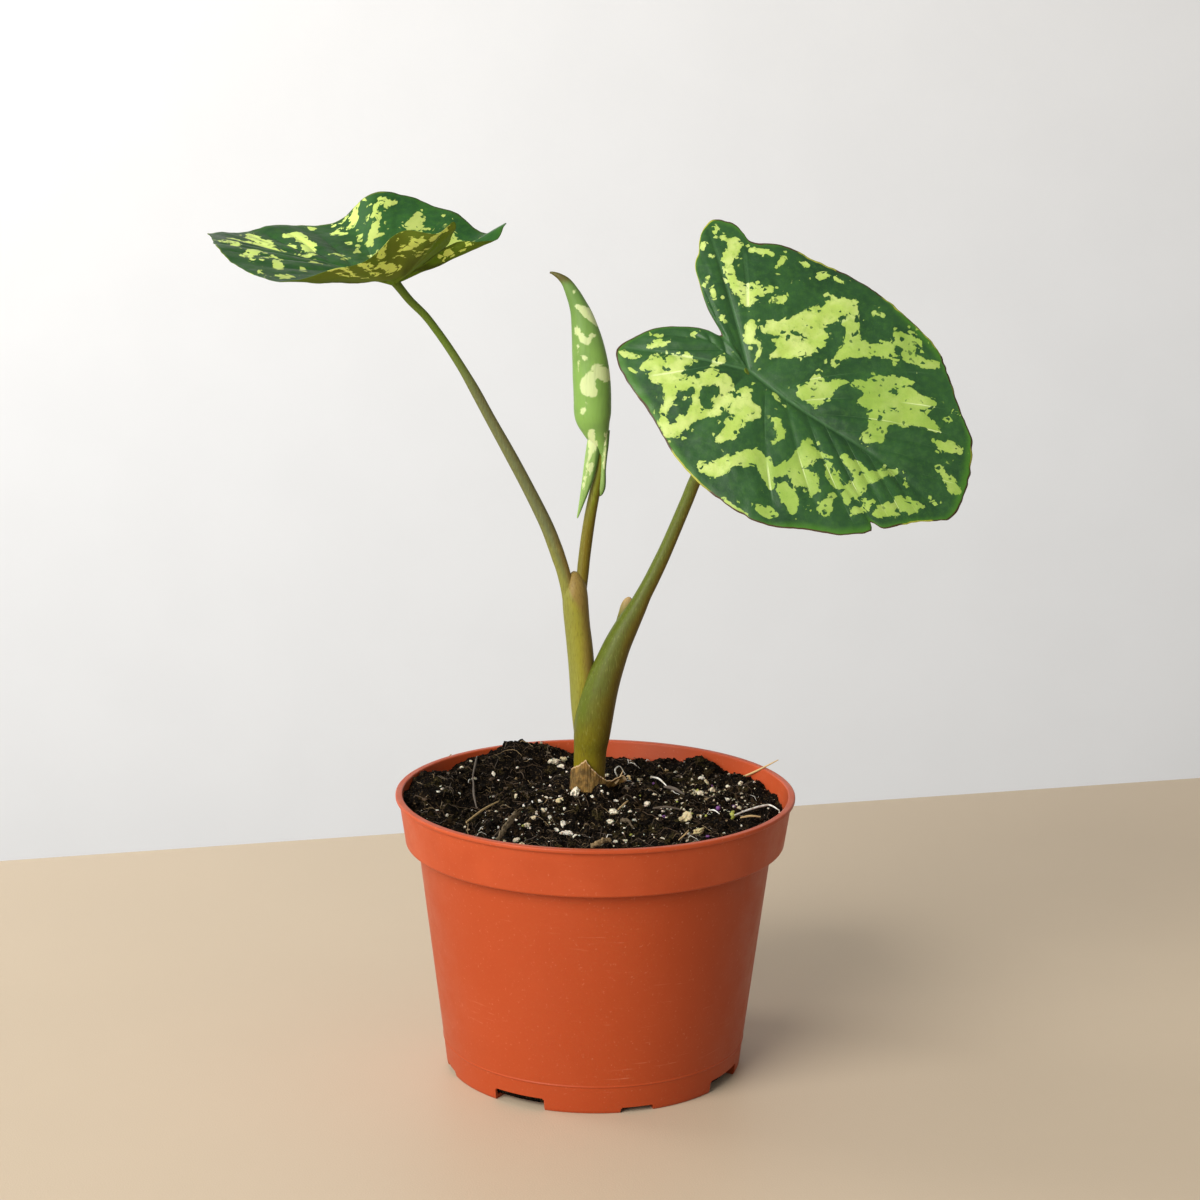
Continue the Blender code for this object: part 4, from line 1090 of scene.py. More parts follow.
new_stalk = stalk_piece("stalk_new", [stalk_rod(NEW_STALK)], NEW_STALK, ((0, 0),))
new_skin = stalk_skin(
    "young stalk", foot=(0.150, 0.112, 0.010), top=(0.150, 0.175, 0.012),
    lit_side_tone=(0.165, 0.150, 0.028), shaded_side_tone=(0.140, 0.098, 0.012), heights=(0.205, 0.240),
    freckles=0.3, upper=1.0,
)
hang(new_stalk, "young_petiole", new_skin, "petiole_new")

# ---- Open blades
# Two arrow-shaped leaf blades, thin and leathery, hung from the stalk at the notch between their
# basal lobes. Dark green, broken by sharp-edged yellow-green blotches, with sunk veins.

# Margins by angle from the midrib: distance from the stalk, and lift off the blade's plane
RIGHT_MARGIN = (
    (0, 97, -6.5), (6, 96.5, -5.5), (11, 95, -4.5), (19, 91.5, -3), (23, 87.5, -2),
    (29, 82.5, -1.5), (37, 79, -1), (47, 75, -1), (65, 65.5, -1), (84, 59, -1), (96, 56.5, -1),
    (109, 57.5, -1), (119, 56.5, -1), (124, 57, -1.5), (127, 61, -2), (130, 65.5, -3),
    (135, 68.5, -4), (138, 68, -4), (142, 63.5, -3.5), (146, 56, -2.5), (150, 50, -2),
    (152, 44, -1.5), (157, 31, -0.5), (162, 18, 0), (170, 23.5, -0.5), (178, 29.5, -1),
    (188, 38.5, -2), (197, 45.5, -3), (204, 51, -4), (208, 52, -4), (216, 50, -3), (230, 45.5, -2),
    (242, 43.5, -1), (257, 44.5, -1), (269, 47.5, -1), (282, 51.5, -1), (294, 56, -1),
    (305, 62, -1), (314, 65.5, -1.5), (323, 68.5, -1.5), (334, 76, -2), (345, 82, -3),
    (353, 88, -4),
)
# Torn nicks in it, as angle from the midrib, depth, and width in degrees
RIGHT_NICKS = ((-16.8, 4.6, 1.3), (146.0, 1.0, 2.0), (-57.0, 0.6, 2.0))
LEFT_MARGIN = (
    (0, 82.5, -0.5), (10, 75.5, 2), (23, 70, 3), (35, 64, 1.5), (50, 57.5, 0.5), (61, 53, 2),
    (72, 50, 5.5), (84, 47.5, 11.5), (97, 45, 16), (105, 44.5, 22.5), (110, 45, 28),
    (117, 46, 31.5), (129, 49, 32), (134.5, 51.5, 37.5), (138, 48, 34), (143, 38.5, 28.5),
    (153, 29, 23), (161, 23, 19), (180, 17, 15.5), (200, 22, 18.5), (207, 30, 19), (215, 38, 19.5),
    (221, 41, 23.5), (225, 43, 24.5), (236, 43, 19.5), (245, 44, 16), (253, 44.5, 16),
    (266, 46, 19.5), (279, 48.5, 19.5), (291, 52, 21), (302, 56, 21), (307, 57.5, 19.5),
    (310.5, 59, 16.5), (313.5, 60.5, 12), (316.5, 62, 7.5), (322, 64.5, 4), (330.5, 68.5, 2),
    (339.5, 73.5, 1.5), (348, 78, -1.5),
)
# Where the stalk meets the blade, the midrib's heading, climb and roll in degrees, and the
# powers by which the blade and its basal lobes rise to their margins, and the blade's crown
RIGHT_SET = ((58.3, 4.0, 282.2), (-17.7, -31.7, 51.5), 1.8, 1.8, 1.6)
LEFT_SET = ((-79.5, 10.0, 315.6), (160.0, 11.0, -6.0), 1.7, 1.15, 0.0)
CHANNEL_DEPTH = 1.0
CHANNEL_WIDTH = 4.5
BLADE_SIDES = 440
BLADE_RINGS = 74
BLADE_HALF = 0.22
# Relief of the skins: the swell between side veins, the grooves above and ribs below the veins,
# and the broad ripple of the whole blade
PILLOW_HEIGHT = 0.55
SIDE_GROOVE, MAIN_GROOVE = 0.16, 0.45
SIDE_RIB, BASAL_RIB, MIDRIB = 0.35, 0.7, 1.9
RIPPLE_HEIGHT = 0.45
# Basal veins by angle and length: the pair that runs into the lobes
RIGHT_BASAL = ((139, 66), (205, 50))
LEFT_BASAL = ((132, 48), (226, 42))
# Side veins leave the midrib at these places, about this far apart, the more aslant the further
# out: place and lean
VEIN_STARTS = (-26, -18, -11, -4, 4, 13, 22, 31, 41, 52, 64, 77, 92)
VEIN_SPACING = 9.0
VEIN_LEAN = (
    (-20, -1.6), (-10, -1.0), (-3, -0.35), (3, 0.15), (8, 0.5), (18, 0.85), (32, 1.35), (50, 1.7),
    (80, 2.2),
)

# Blotches as strokes of a round brush: along and across the blade from the stalk, half width
RIGHT_BLOTCHES = (
    ((-41, 42, 1.9), (-36, 42, 2.7), (-35, 36, 2.3), (-32, 31, 1.6), (-28, 28, 2.1), (-22, 26, 3.1),
     (-19, 27, 4.3), (-16, 30, 2.7), (-13, 33, 1.3)),
    ((-18, 26, 2.9), (-17, 23, 1.7)),
    ((-47, 44, 1.2), (-45, 42, 0.5)),
    ((-29, 44, 1.4), (-26, 45, 1.3), (-22, 47, 1.4)),
    ((-17, 48, 1.7), (-17, 43, 0.4)),
    ((-10, 52, 0.9), (-8, 52, 1.2)),
    ((-2, 50, 0.9), (1, 53, 1.2), (4, 54, 1.2), (7, 54, 0.7)),
    ((-9, 29, 1.3), (-8, 32, 2.3), (-7, 34, 1.2)),
    ((25, 51, 1.1), (28, 52, 1.0)),
    ((-10, 16, 1.9), (-7, 10, 1.9), (-3, 11, 1.3), (-1, 8, 1.1), (0, 4, 0.4)),
    ((-4, 19, 2.4), (-1, 21, 3.6), (4, 26, 4.3), (7, 31, 4.8), (10, 37, 4.6), (12, 43, 4.3),
     (16, 47, 3.6), (19, 46, 2.1)),
    ((20, 43, 2.7), (23, 37, 3.6), (27, 33, 4.0), (25, 28, 2.7), (25, 22, 0.8)),
    ((4, 17, 2.7), (9, 22, 5.0), (12, 27, 5.0), (14, 22, 3.1), (8, 16, 2.5), (4, 10, 1.1)),
    ((7, 46, 1.1), (10, 46, 1.9)),
    ((28, 33, 4.0), (32, 35, 3.4), (36, 38, 3.1), (41, 42, 3.3), (43, 48, 4.3), (46, 51, 1.9)),
    ((37, 48, 2.1), (42, 51, 2.7)),
    ((46, 44, 3.3), (52, 45, 2.4), (57, 47, 1.7), (58, 46, 0.7)),
    ((22, 5, 2.3), (25, 10, 3.4), (23, 15, 1.0)),
    ((27, 5, 3.1), (29, 11, 3.2), (31, 16, 1.3), (34, 19, 0.6)),
    ((36, 20, 1.3), (41, 22, 2.9), (45, 27, 3.6), (50, 32, 2.7), (53, 35, 1.1)),
    ((42, 14, 1.3), (45, 19, 3.2), (50, 23, 4.8), (56, 28, 5.3), (62, 30, 3.2), (65, 33, 1.3)),
    ((50, 14, 2.7), (56, 18, 3.4), (62, 24, 4.0), (69, 25, 2.7), (74, 25, 0.8)),
    ((53, 13, 3.2), (55, 8, 3.1), (53, 4, 2.3)),
    ((44, 24, 3.8), (48, 19, 3.3)),
    ((76, 21, 1.3), (79, 22, 2.5), (83, 24, 2.3)),
    ((73, 31, 1.1), (74, 32, 0.8)),
    ((74, 36, 0.9),),
    ((82, 13, 0.7), (86, 12, 1.2), (90, 11, 2.1), (93, 10, 1.7)),
    ((-34, -24, 1.1), (-29, -20, 3.2), (-25, -16, 4.2), (-22, -12, 2.7)),
    ((-27, -25, 2.7), (-23, -22, 4.2), (-21, -18, 3.2)),
    ((-19, -26, 3.2), (-17, -30, 2.4), (-16, -34, 1.7), (-14, -39, 1.3), (-10, -40, 2.7),
     (-7, -37, 2.7), (-7, -33, 2.1), (-5, -28, 2.5), (-2, -25, 2.5), (0, -21, 3.2), (0, -15, 2.9),
     (-4, -11, 3.2), (-9, -12, 3.2), (-12, -16, 3.6), (-14, -21, 3.1), (-19, -24, 2.9)),
    ((-12, -20, 2.5), (-8, -25, 2.1), (-5, -28, 2.1)),
    ((-44, -23, 0.9), (-40, -23, 1.5), (-38, -22, 0.8)),
    ((-37, -28, 0.8), (-35, -28, 0.6)),
    ((-37, -16, 0.8), (-34, -12, 1.5), (-31, -9, 0.6)),
    ((-33, -19, 0.6), (-32, -16, 1.1)),
    ((-38, -10, 0.6), (-36, -9, 0.6)),
    ((-26, -1, 0.6), (-24, -1, 0.5)),
    ((-12, -6, 0.8), (-11, -4, 1.3), (-10, -2, 0.5)),
    ((5, -12, 3.3), (8, -16, 5.0), (12, -14, 2.5), (13, -13, 1.1)),
    ((9, -23, 3.6), (9, -28, 2.9), (8, -32, 1.5)),
    ((4, -9, 1.7), (6, -7, 1.0)),
    ((13, -3, 0.5), (17, -4, 1.1), (19, -4, 0.6)),
    ((20, -11, 1.1), (24, -14, 1.7), (26, -17, 1.5), (25, -20, 0.8)),
    ((9, -45, 1.7), (13, -44, 3.4), (16, -38, 2.7), (19, -34, 2.9), (23, -29, 2.9), (27, -29, 3.4)),
    ((28, -30, 2.9), (32, -33, 2.5), (35, -35, 1.3)),
    ((34, -29, 2.7), (37, -24, 3.2), (38, -18, 4.0), (36, -13, 1.3), (35, -10, 0.7)),
    ((38, -16, 3.8), (42, -13, 2.1), (47, -11, 1.1)),
    ((40, -26, 4.0), (45, -23, 3.2), (49, -26, 1.9), (49, -28, 0.9)),
    ((38, -32, 2.5), (44, -35, 3.1), (47, -38, 1.7)),
    ((48, -15, 1.7), (51, -17, 2.3), (55, -19, 1.5)),
    ((51, -8, 1.7), (56, -8, 3.2), (60, -9, 3.6), (64, -7, 1.9), (67, -2, 1.5), (69, 1, 0.7)),
    ((61, -14, 2.9), (60, -19, 2.9), (62, -22, 1.0)),
    ((56, -23, 0.6), (56, -27, 2.1), (57, -30, 2.5), (59, -31, 1.0)),
    ((36, -46, 1.5), (39, -45, 2.3), (43, -43, 0.9)),
    ((51, -34, 1.0),),
    ((76, -1, 1.2), (75, 1, 0.5)),
    ((66, -23, 1.0), (69, -20, 1.7), (68, -16, 1.1)),
    ((73, -18, 1.5), (76, -15, 2.1), (78, -10, 3.2), (82, -8, 2.3), (85, -4, 1.0)),
    ((88, 0, 1.0),),
    ((-46, 35, 0.7), (-45, 33, 0.4)),
    ((-41, 32, 0.8),),
    ((-36, 23, 1.0), (-35, 21, 0.6)),
    ((-31, 19, 0.9), (-29, 17, 0.8)),
    ((-26, 19, 0.7),),
    ((-21, 11, 0.7),),
    ((-6, 43, 0.5),),
    ((23, -50, 0.5), (29, -51, 0.8), (34, -50, 0.6)),
)
# Dark islands left in the blotches
RIGHT_ISLANDS = (
    ((-37, 45, 0.8),),
    ((-19, 29, 0.9),),
    ((18, 37, 2.1), (20, 32, 2.3), (20, 24, 2.9), (22, 18, 1.9)),
    ((-4, 16, 1.1), (-5, 15, 0.6)),
    ((6, 24, 1.1), (4, 23, 0.6)),
    ((10, 23, 1.1),),
    ((42, 43, 1.7), (40, 43, 0.8)),
    ((40, 47, 0.8),),
    ((50, 27, 1.3), (49, 26, 0.6)),
    ((52, 18, 0.7), (56, 21, 0.8)),
    ((53, 6, 0.9),),
    ((-12, -28, 3.6), (-12, -33, 2.7)),
    ((-5, -22, 2.9),),
    ((-14, -15, 1.0),),
    ((-12, -22, 0.9),),
    ((44, -17, 2.1), (50, -21, 1.5)),
    ((28, -34, 0.9),),
    ((36, -31, 0.8),),
    ((39, -17, 0.8),),
    ((60, -9, 0.9),),
    ((6, -4, 1.0),),
)
LEFT_BLOTCHES = (
    # From the tip to the middle
    ((67, 17, 1.7), (68, 12, 1.9), (65, 12, 1.9), (62, 15, 2.2), (61, 19, 2.2)),
    ((71, 2, 2.4), (66, 1, 2.8), (60, -1, 3.0), (55, -1, 2.1), (50, 0, 1.3)),
    ((73, -15, 1.3), (70, -13, 2.4), (67, -9, 3.9), (63, -8, 3.8), (60, -4, 3.2), (56, -3, 2.3)),
    ((51.5, 27, 1.8), (52, 21, 2.0), (51, 16, 1.1)),
    ((49.6, 27, 1.3), (47.3, 29, 1.3), (46, 25, 1.0), (45, 19, 0.8)),
    ((44, 17, 0.8), (42, 18, 1.4), (40, 23, 1.6), (38, 27, 2.2), (36, 29, 1.3)),
    ((39.5, 36.5, 1.0), (37.5, 39.5, 1.0), (35, 41, 0.9)),
    ((42, 43.5, 0.9), (39.5, 44.5, 0.7)),
    ((32, 36, 1.3), (29.5, 36.5, 1.4), (27.5, 35, 0.9)),
    ((30.5, 20, 0.8), (29, 22, 0.9)),
    ((28.5, 25, 0.8), (27, 24, 0.7)),
    ((58, -19, 1.5), (56, -21.5, 2.2), (53, -21, 2.4), (49.8, -17, 2.5), (46.2, -14, 3.2),
     (43.6, -10, 3.0), (43, -7, 1.6)),
    ((52, -11.5, 1.0), (49, -10, 1.3)),
    ((42.0, -1, 1.2), (40.0, -3, 1.9), (38.5, -5.5, 1.3)),
    # Along the far margin
    ((55, -33, 0.8), (52.5, -33, 0.8), (50.5, -33, 0.5)),
    ((47, -38, 0.6), (44.5, -40, 0.6), (43, -42, 0.5)),
    ((43.5, -31, 1.0), (42.8, -34, 1.0), (42.3, -36.5, 0.5)),
    ((43.5, -31, 1.0), (41, -32, 1.4), (38.8, -32.3, 0.6)),
    ((34.0, -25.2, 1.5), (33.6, -25.2, 1.5)),
    ((40.7, -44.3, 0.7), (39.8, -41, 1.2), (38.3, -38.5, 1.6), (38.4, -36, 0.9)),
    ((31.4, -37.2, 0.5), (30.9, -35.4, 0.9)),
    ((31.2, -30.5, 0.6), (30.2, -27, 0.4)),
    ((29.2, -24.5, 0.4), (27.3, -21, 0.6), (25.8, -18, 0.9)),
    ((30.4, -40.6, 0.7), (29.3, -37.4, 0.9)),
    ((27.6, -36, 1.2), (26.4, -33.5, 1.6), (25.3, -30, 1.8), (24.2, -26.5, 1.5)),
    ((24, -25.8, 1.1), (21.7, -26.9, 0.8), (19.8, -27.9, 0.5)),
    ((33, -9.5, 0.9), (31.5, -11.5, 1.3), (29, -11, 1.6), (26.5, -9.5, 1.1), (24, -10, 0.5)),
    ((29.9, -43.4, 1.1), (28, -44, 1.3), (26.4, -42.8, 1.4), (24.4, -44.3, 0.9)),
    ((26.3, -41.6, 1.3), (25.8, -40, 0.6)),
    ((12.0, -41.6, 1.6), (11.5, -38.5, 2.4), (11, -36, 2.6)),
    ((13.0, -36.5, 1.3), (13.8, -34.6, 0.7)),
    ((9.6, -40.5, 1.1), (8.8, -38, 1.4)),
    ((10, -35.5, 1.6), (7, -36, 1.4), (4, -36.8, 0.8)),
    ((2.2, -44, 0.8), (1, -44, 0.6)),
    # The far basal lobe
    ((-5, -35, 2.0), (-7, -33, 2.2), (-9, -29, 2.0), (-11, -25, 1.5)),
    ((-8, -34, 2.0), (-13, -33, 1.9), (-18, -31, 1.7), (-21, -30, 1.0)),
    ((-22, -26, 0.5), (-25, -28, 0.4)),
    ((-17, -8, 0.8), (-18.8, -9.3, 0.7)),
    ((-22, -10.5, 0.8), (-24, -11.8, 0.8)),
    # The near side, seen from below
    ((6, 47, 1.0), (3, 47, 1.4), (1.4, 45, 1.6), (1.5, 40, 1.4), (1.8, 34, 1.0), (1.9, 29, 0.4)),
    ((4.3, 44, 0.7), (4.4, 39, 0.5), (4.1, 34, 0.3)),
    ((-4.6, 43.5, 1.0), (-4.7, 38, 1.2), (-4.3, 33, 1.0), (-3.7, 27, 0.4)),
    ((-6.5, 41, 0.4), (-6.3, 35, 0.5)),
    ((-7.7, 35, 0.6), (-8.1, 29, 1.2), (-8.1, 24, 2.0), (-8.3, 21, 1.9)),
    ((-13.4, 43, 0.7), (-12, 42, 1.1), (-10.7, 41, 1.8), (-10.5, 39, 1.9), (-11.5, 38, 0.9)),
    ((-11.7, 29.8, 0.6), (-13.5, 27.5, 0.6)),
    ((-14.5, 32, 0.8), (-16.7, 31.8, 1.3), (-19, 32, 1.4), (-21, 34.5, 1.5), (-23.5, 36.2, 1.1),
     (-26.5, 37, 0.6)),
    ((-20, 37.3, 0.8), (-21.5, 36.5, 1.0)),
    ((-17.8, 26, 0.6), (-21.4, 27.5, 0.9), (-24, 29.6, 1.2), (-26, 28.2, 0.9)),
    ((-27.3, 33, 0.9), (-28.7, 36, 1.3), (-31.5, 36.8, 1.6), (-33.8, 37, 1.2), (-32, 32.5, 0.9)),
    ((-17.7, 41, 0.5), (-19, 41, 0.5)),
    # Unseen stretches
    ((15, -14, 2.0), (20, -17, 1.4)), ((12, 14, 1.6), (17, 18, 2.2)),
    ((5, -20, 1.6), (2, -25, 2.2)), ((28, 9, 1.0), (33, 8, 0.7)), ((-4, -12, 1.2), (-8, -15, 1.6)),
)
LEFT_ISLANDS = (((69, -9, 0.5),), ((48, -15, 0.4),))


def blade_axes(pose):
    """Midrib, left-hand and upward directions of a blade from its heading, climb and roll."""
    heading, climb, roll = (math.radians(angle) for angle in pose)
    level = math.cos(climb)
    along = Vector((level * math.cos(heading), level * math.sin(heading), math.sin(climb)))
    flat = Vector((0.0, 0.0, 1.0)).cross(along).normalized()
    across = flat * math.cos(roll) + along.cross(flat) * math.sin(roll)
    return np.array(along), np.array(across), np.array(along.cross(across))


def margin_line(margin, nicks, seed):
    """The margin as along, across and lift, evenly spaced, with its fine waves and torn nicks."""
    flat = []
    for angle, reach, lift in margin:
        turn = math.radians(angle)
        flat.append((reach * math.cos(turn), reach * math.sin(turn), lift))
    run = smooth(flat[-1:] + flat + flat[:2], 24)[24:-24]
    steps = np.linalg.norm(np.diff(run[:, :2], axis=0), axis=1)
    length = np.concatenate([[0], np.cumsum(steps)])
    stops = np.linspace(0, length[-1], BLADE_SIDES, endpoint=False)
    edge = np.stack([np.interp(stops, length, run[:, i]) for i in range(3)], axis=1)
    for i, (x, y, lift) in enumerate(edge):
        wave = 1 + 0.006 * noise.noise(Vector((x / 3.0, y / 3.0, seed)))
        angle = math.degrees(math.atan2(y, x)) % 360
        for where, depth, width in nicks:
            wave -= depth / math.hypot(x, y) * max(0.0, 1 - abs(angle - where % 360) / width)
        edge[i, :2] *= wave
        edge[i, 2] += 0.35 * noise.noise(Vector((x / 7.0, y / 7.0, seed + 5.0)))
    return edge


def brush_reach(along, across, strokes):
    """How far inside the nearest stroke each point lies, in millimetres, and negative outside."""
    reach = np.full(along.shape, -99.0)
    for stroke in strokes:
        if len(stroke) == 1:
            stroke = stroke * 2
        for (x0, y0, w0), (x1, y1, w1) in zip(stroke, stroke[1:]):
            span = max((x1 - x0) ** 2 + (y1 - y0) ** 2, 1e-6)
            t = np.clip(((along - x0) * (x1 - x0) + (across - y0) * (y1 - y0)) / span, 0, 1)
            away = np.hypot(along - x0 - t * (x1 - x0), across - y0 - t * (y1 - y0))
            reach = np.maximum(reach, w0 + t * (w1 - w0) - away)
    return reach


def vein_course(along, across):
    """Which side vein a point lies by: whole numbers on the veins, parts of one between them."""
    lean_at, lean = np.array(VEIN_LEAN, float).T
    out = np.abs(across) * (1 + 0.012 * np.abs(across))
    low = np.full(along.shape, -60.0)
    high = np.full(along.shape, 130.0)
    for _ in range(22):
        middle = (low + high) / 2
        past = middle + np.interp(middle, lean_at, lean) * out > along
        high = np.where(past, middle, high)
        low = np.where(past, low, middle)
    # The two sides' veins take turns
    start = low - np.where(across < 0, VEIN_SPACING / 2, 0.0)
    return np.interp(start, VEIN_STARTS, np.arange(len(VEIN_STARTS)))


def main_vein_gap(along, across, basal):
    """Distance from the midrib or the nearer basal vein, which wander a little."""
    wander = 1.2 * np.sin(along / 14.0) * (along > 0)
    gap = np.where(along > -1, np.abs(across + wander), 99.0)
    for angle, length in basal:
        turn = math.radians(angle)
        run = along * math.cos(turn) + across * math.sin(turn)
        off = np.abs(-along * math.sin(turn) + across * math.cos(turn))
        gap = np.minimum(gap, np.where((run > -1) & (run < length), off, 99.0))
    return np.minimum(gap, np.hypot(along, across) + 1.0)


def outward_from_stalk(values, edge_values, first):
    """One number for the stalk's place, then for each ring out to the margin."""
    return np.concatenate([[first], np.outer(values, edge_values).ravel()])


def open_blade(name, margin, setting, basal, blotches, islands, nicks, seed, drying):
    """A blade as two skins that meet at the margin: a smooth one above, a ribbed one below."""
    navel, pose, rise_power, lobe_power, crown = setting
    along_way, across_way, up_way = blade_axes(pose)
    edge = margin_line(margin, nicks, seed)
    shares = np.linspace(0, 1, BLADE_RINGS + 1)[1:] ** 0.9
    every_ring = np.ones(BLADE_RINGS)
    along = outward_from_stalk(shares, edge[:, 0], 0.0)
    across = outward_from_stalk(shares, edge[:, 1], 0.0)
    edge_lift = outward_from_stalk(every_ring, edge[:, 2], 0.0)
    edge_radius = outward_from_stalk(every_ring, np.hypot(edge[:, 0], edge[:, 1]), 40.0)
    share = outward_from_stalk(shares, np.ones(BLADE_SIDES), 0.0)
    radius = np.hypot(along, across)
    # The basal lobes rise straighter from the stalk than the rest does
    backward = np.clip((-along - 0.25 * radius) / (0.5 * radius + 0.01), 0, 1)
    power = rise_power + (lobe_power - rise_power) * backward * backward * (3 - 2 * backward)
    lift = edge_lift * share**power + crown * 4 * share * (1 - share)
    channel = np.minimum(1, share * 5) * np.exp(-((across / CHANNEL_WIDTH) ** 2))
    lift = lift - CHANNEL_DEPTH * channel * (1 - share)

    course = vein_course(along, across)
    side_gap = np.abs(course - np.round(course)) * VEIN_SPACING
    main_gap = main_vein_gap(along, across, basal)
    fade = np.clip((1 - share) * 4, 0, 1) * np.clip(share * 6, 0, 1)
    away_from_main = np.clip(main_gap / 5, 0, 1)
    pillow = np.sin(math.pi * np.minimum(side_gap / VEIN_SPACING, 1))
    pillow = PILLOW_HEIGHT * fade * away_from_main * pillow
    groove = SIDE_GROOVE * fade * np.exp(-((side_gap / 0.9) ** 2)) * away_from_main
    main_groove = np.clip((1 - share) * 3, 0, 1) * np.exp(-((main_gap / 1.3) ** 2))
    groove = groove + MAIN_GROOVE * main_groove
    ripple = []
    for x, y in zip(along, across):
        broad = noise.noise(Vector((x / 11.0, y / 11.0, seed)))
        ripple.append(broad + 0.35 * noise.noise(Vector((x / 3.2, y / 3.2, seed))))
    ripple = RIPPLE_HEIGHT * np.array(ripple) * np.clip(share * 3, 0, 1)
    lift = lift + ripple + pillow - groove

    half = BLADE_HALF * np.clip((1 - share) * 22, 0.25, 1)
    # The midrib stands out most, the basal veins least
    stout = np.where(along > -1, MIDRIB, BASAL_RIB) * np.clip(1 - radius / 92, 0, 1)
    rib = stout * np.exp(-((main_gap / 1.25) ** 2)) * np.clip((1 - share) * 6, 0, 1)
    rib = rib + SIDE_RIB * np.exp(-((side_gap / 0.8) ** 2)) * fade
    seat = 0.25 * np.exp(-((radius / 2.5) ** 2))
    base = np.asarray(navel) + np.outer(along, along_way) + np.outer(across, across_way)
    top = base + np.outer(lift + half, up_way)
    under = base + np.outer(lift - half - rib - seat, up_way)

    count = len(along)
    skin = disc_faces(BLADE_RINGS, BLADE_SIDES)
    faces = skin + [tuple(count + i for i in reversed(face)) for face in skin]
    outer = 1 + (BLADE_RINGS - 1) * BLADE_SIDES
    for side in range(BLADE_SIDES):
        a, b = outer + side, outer + (side + 1) % BLADE_SIDES
        faces.append((a, a + count, b + count, b))
    piece = new_piece(name, np.concatenate([top, under]), faces)

    reach = brush_reach(along, across, blotches)
    reach = np.minimum(reach, -brush_reach(along, across, islands))
    for word, values in (
        ("blotch", np.clip(reach, -9, 9)), ("from_margin", (1 - share) * edge_radius),
        ("course", course), ("main_gap", main_gap), ("outward", radius), ("along", along),
    ):
        carry(piece, word, np.tile(values, 2))
    carry(piece, "underside", np.repeat([0.0, 1.0], count))
    carry(piece, "drying", np.full(2 * count, drying))
    return piece


BLADE_DARK = (0.0145, 0.054, 0.016)
BLADE_GREEN = (0.026, 0.088, 0.022)
BLADE_FRESH = (0.052, 0.165, 0.014)
BLOTCH_LIME = (0.40, 0.54, 0.105)
BLOTCH_PALE = (0.52, 0.63, 0.19)
BLOTCH_GREEN = (0.22, 0.36, 0.05)
LEFT_LIME = (0.37, 0.44, 0.105)
LEFT_PALE = (0.66, 0.84, 0.20)
VEIN_ON_GREEN = (0.070, 0.165, 0.060)
VEIN_ON_BLOTCH = (0.72, 0.82, 0.42)
UNDER_OLIVE = (0.120, 0.215, 0.018)
UNDER_WARM = (0.150, 0.205, 0.026)
UNDER_YELLOW_GLOW = (0.84, 1.0, 0.22)
UNDER_RAY = (0.060, 0.078, 0.014)
UNDER_MIDRIB = (0.16, 0.25, 0.03)
MARGIN_BROWN = (0.060, 0.028, 0.012)
MARGIN_YELLOW = (0.36, 0.36, 0.04)


def cells(where, scale):
    """A random number for each cell of the leaf's own fine mesh of veinlets."""
    node = put(where, "ShaderNodeTexVoronoi", {"Vector": where, "Scale": scale})
    return put(where, "ShaderNodeSeparateColor", {0: node.outputs["Color"]}).outputs[0]


def frayed(where, reach, bend, coarse, fine):
    """The blotch edge, bent by a soft noise and stepped along the veinlets' cells."""
    shifts = (
        (grain(where, 190.0, 1.0), bend), (cells(where, 340.0), coarse),
        (cells(where, 800.0), fine),
    )
    for shift, amount in shifts:
        reach = calc("MULTIPLY_ADD", minus(shift, 0.5), amount, reach)
    return reach


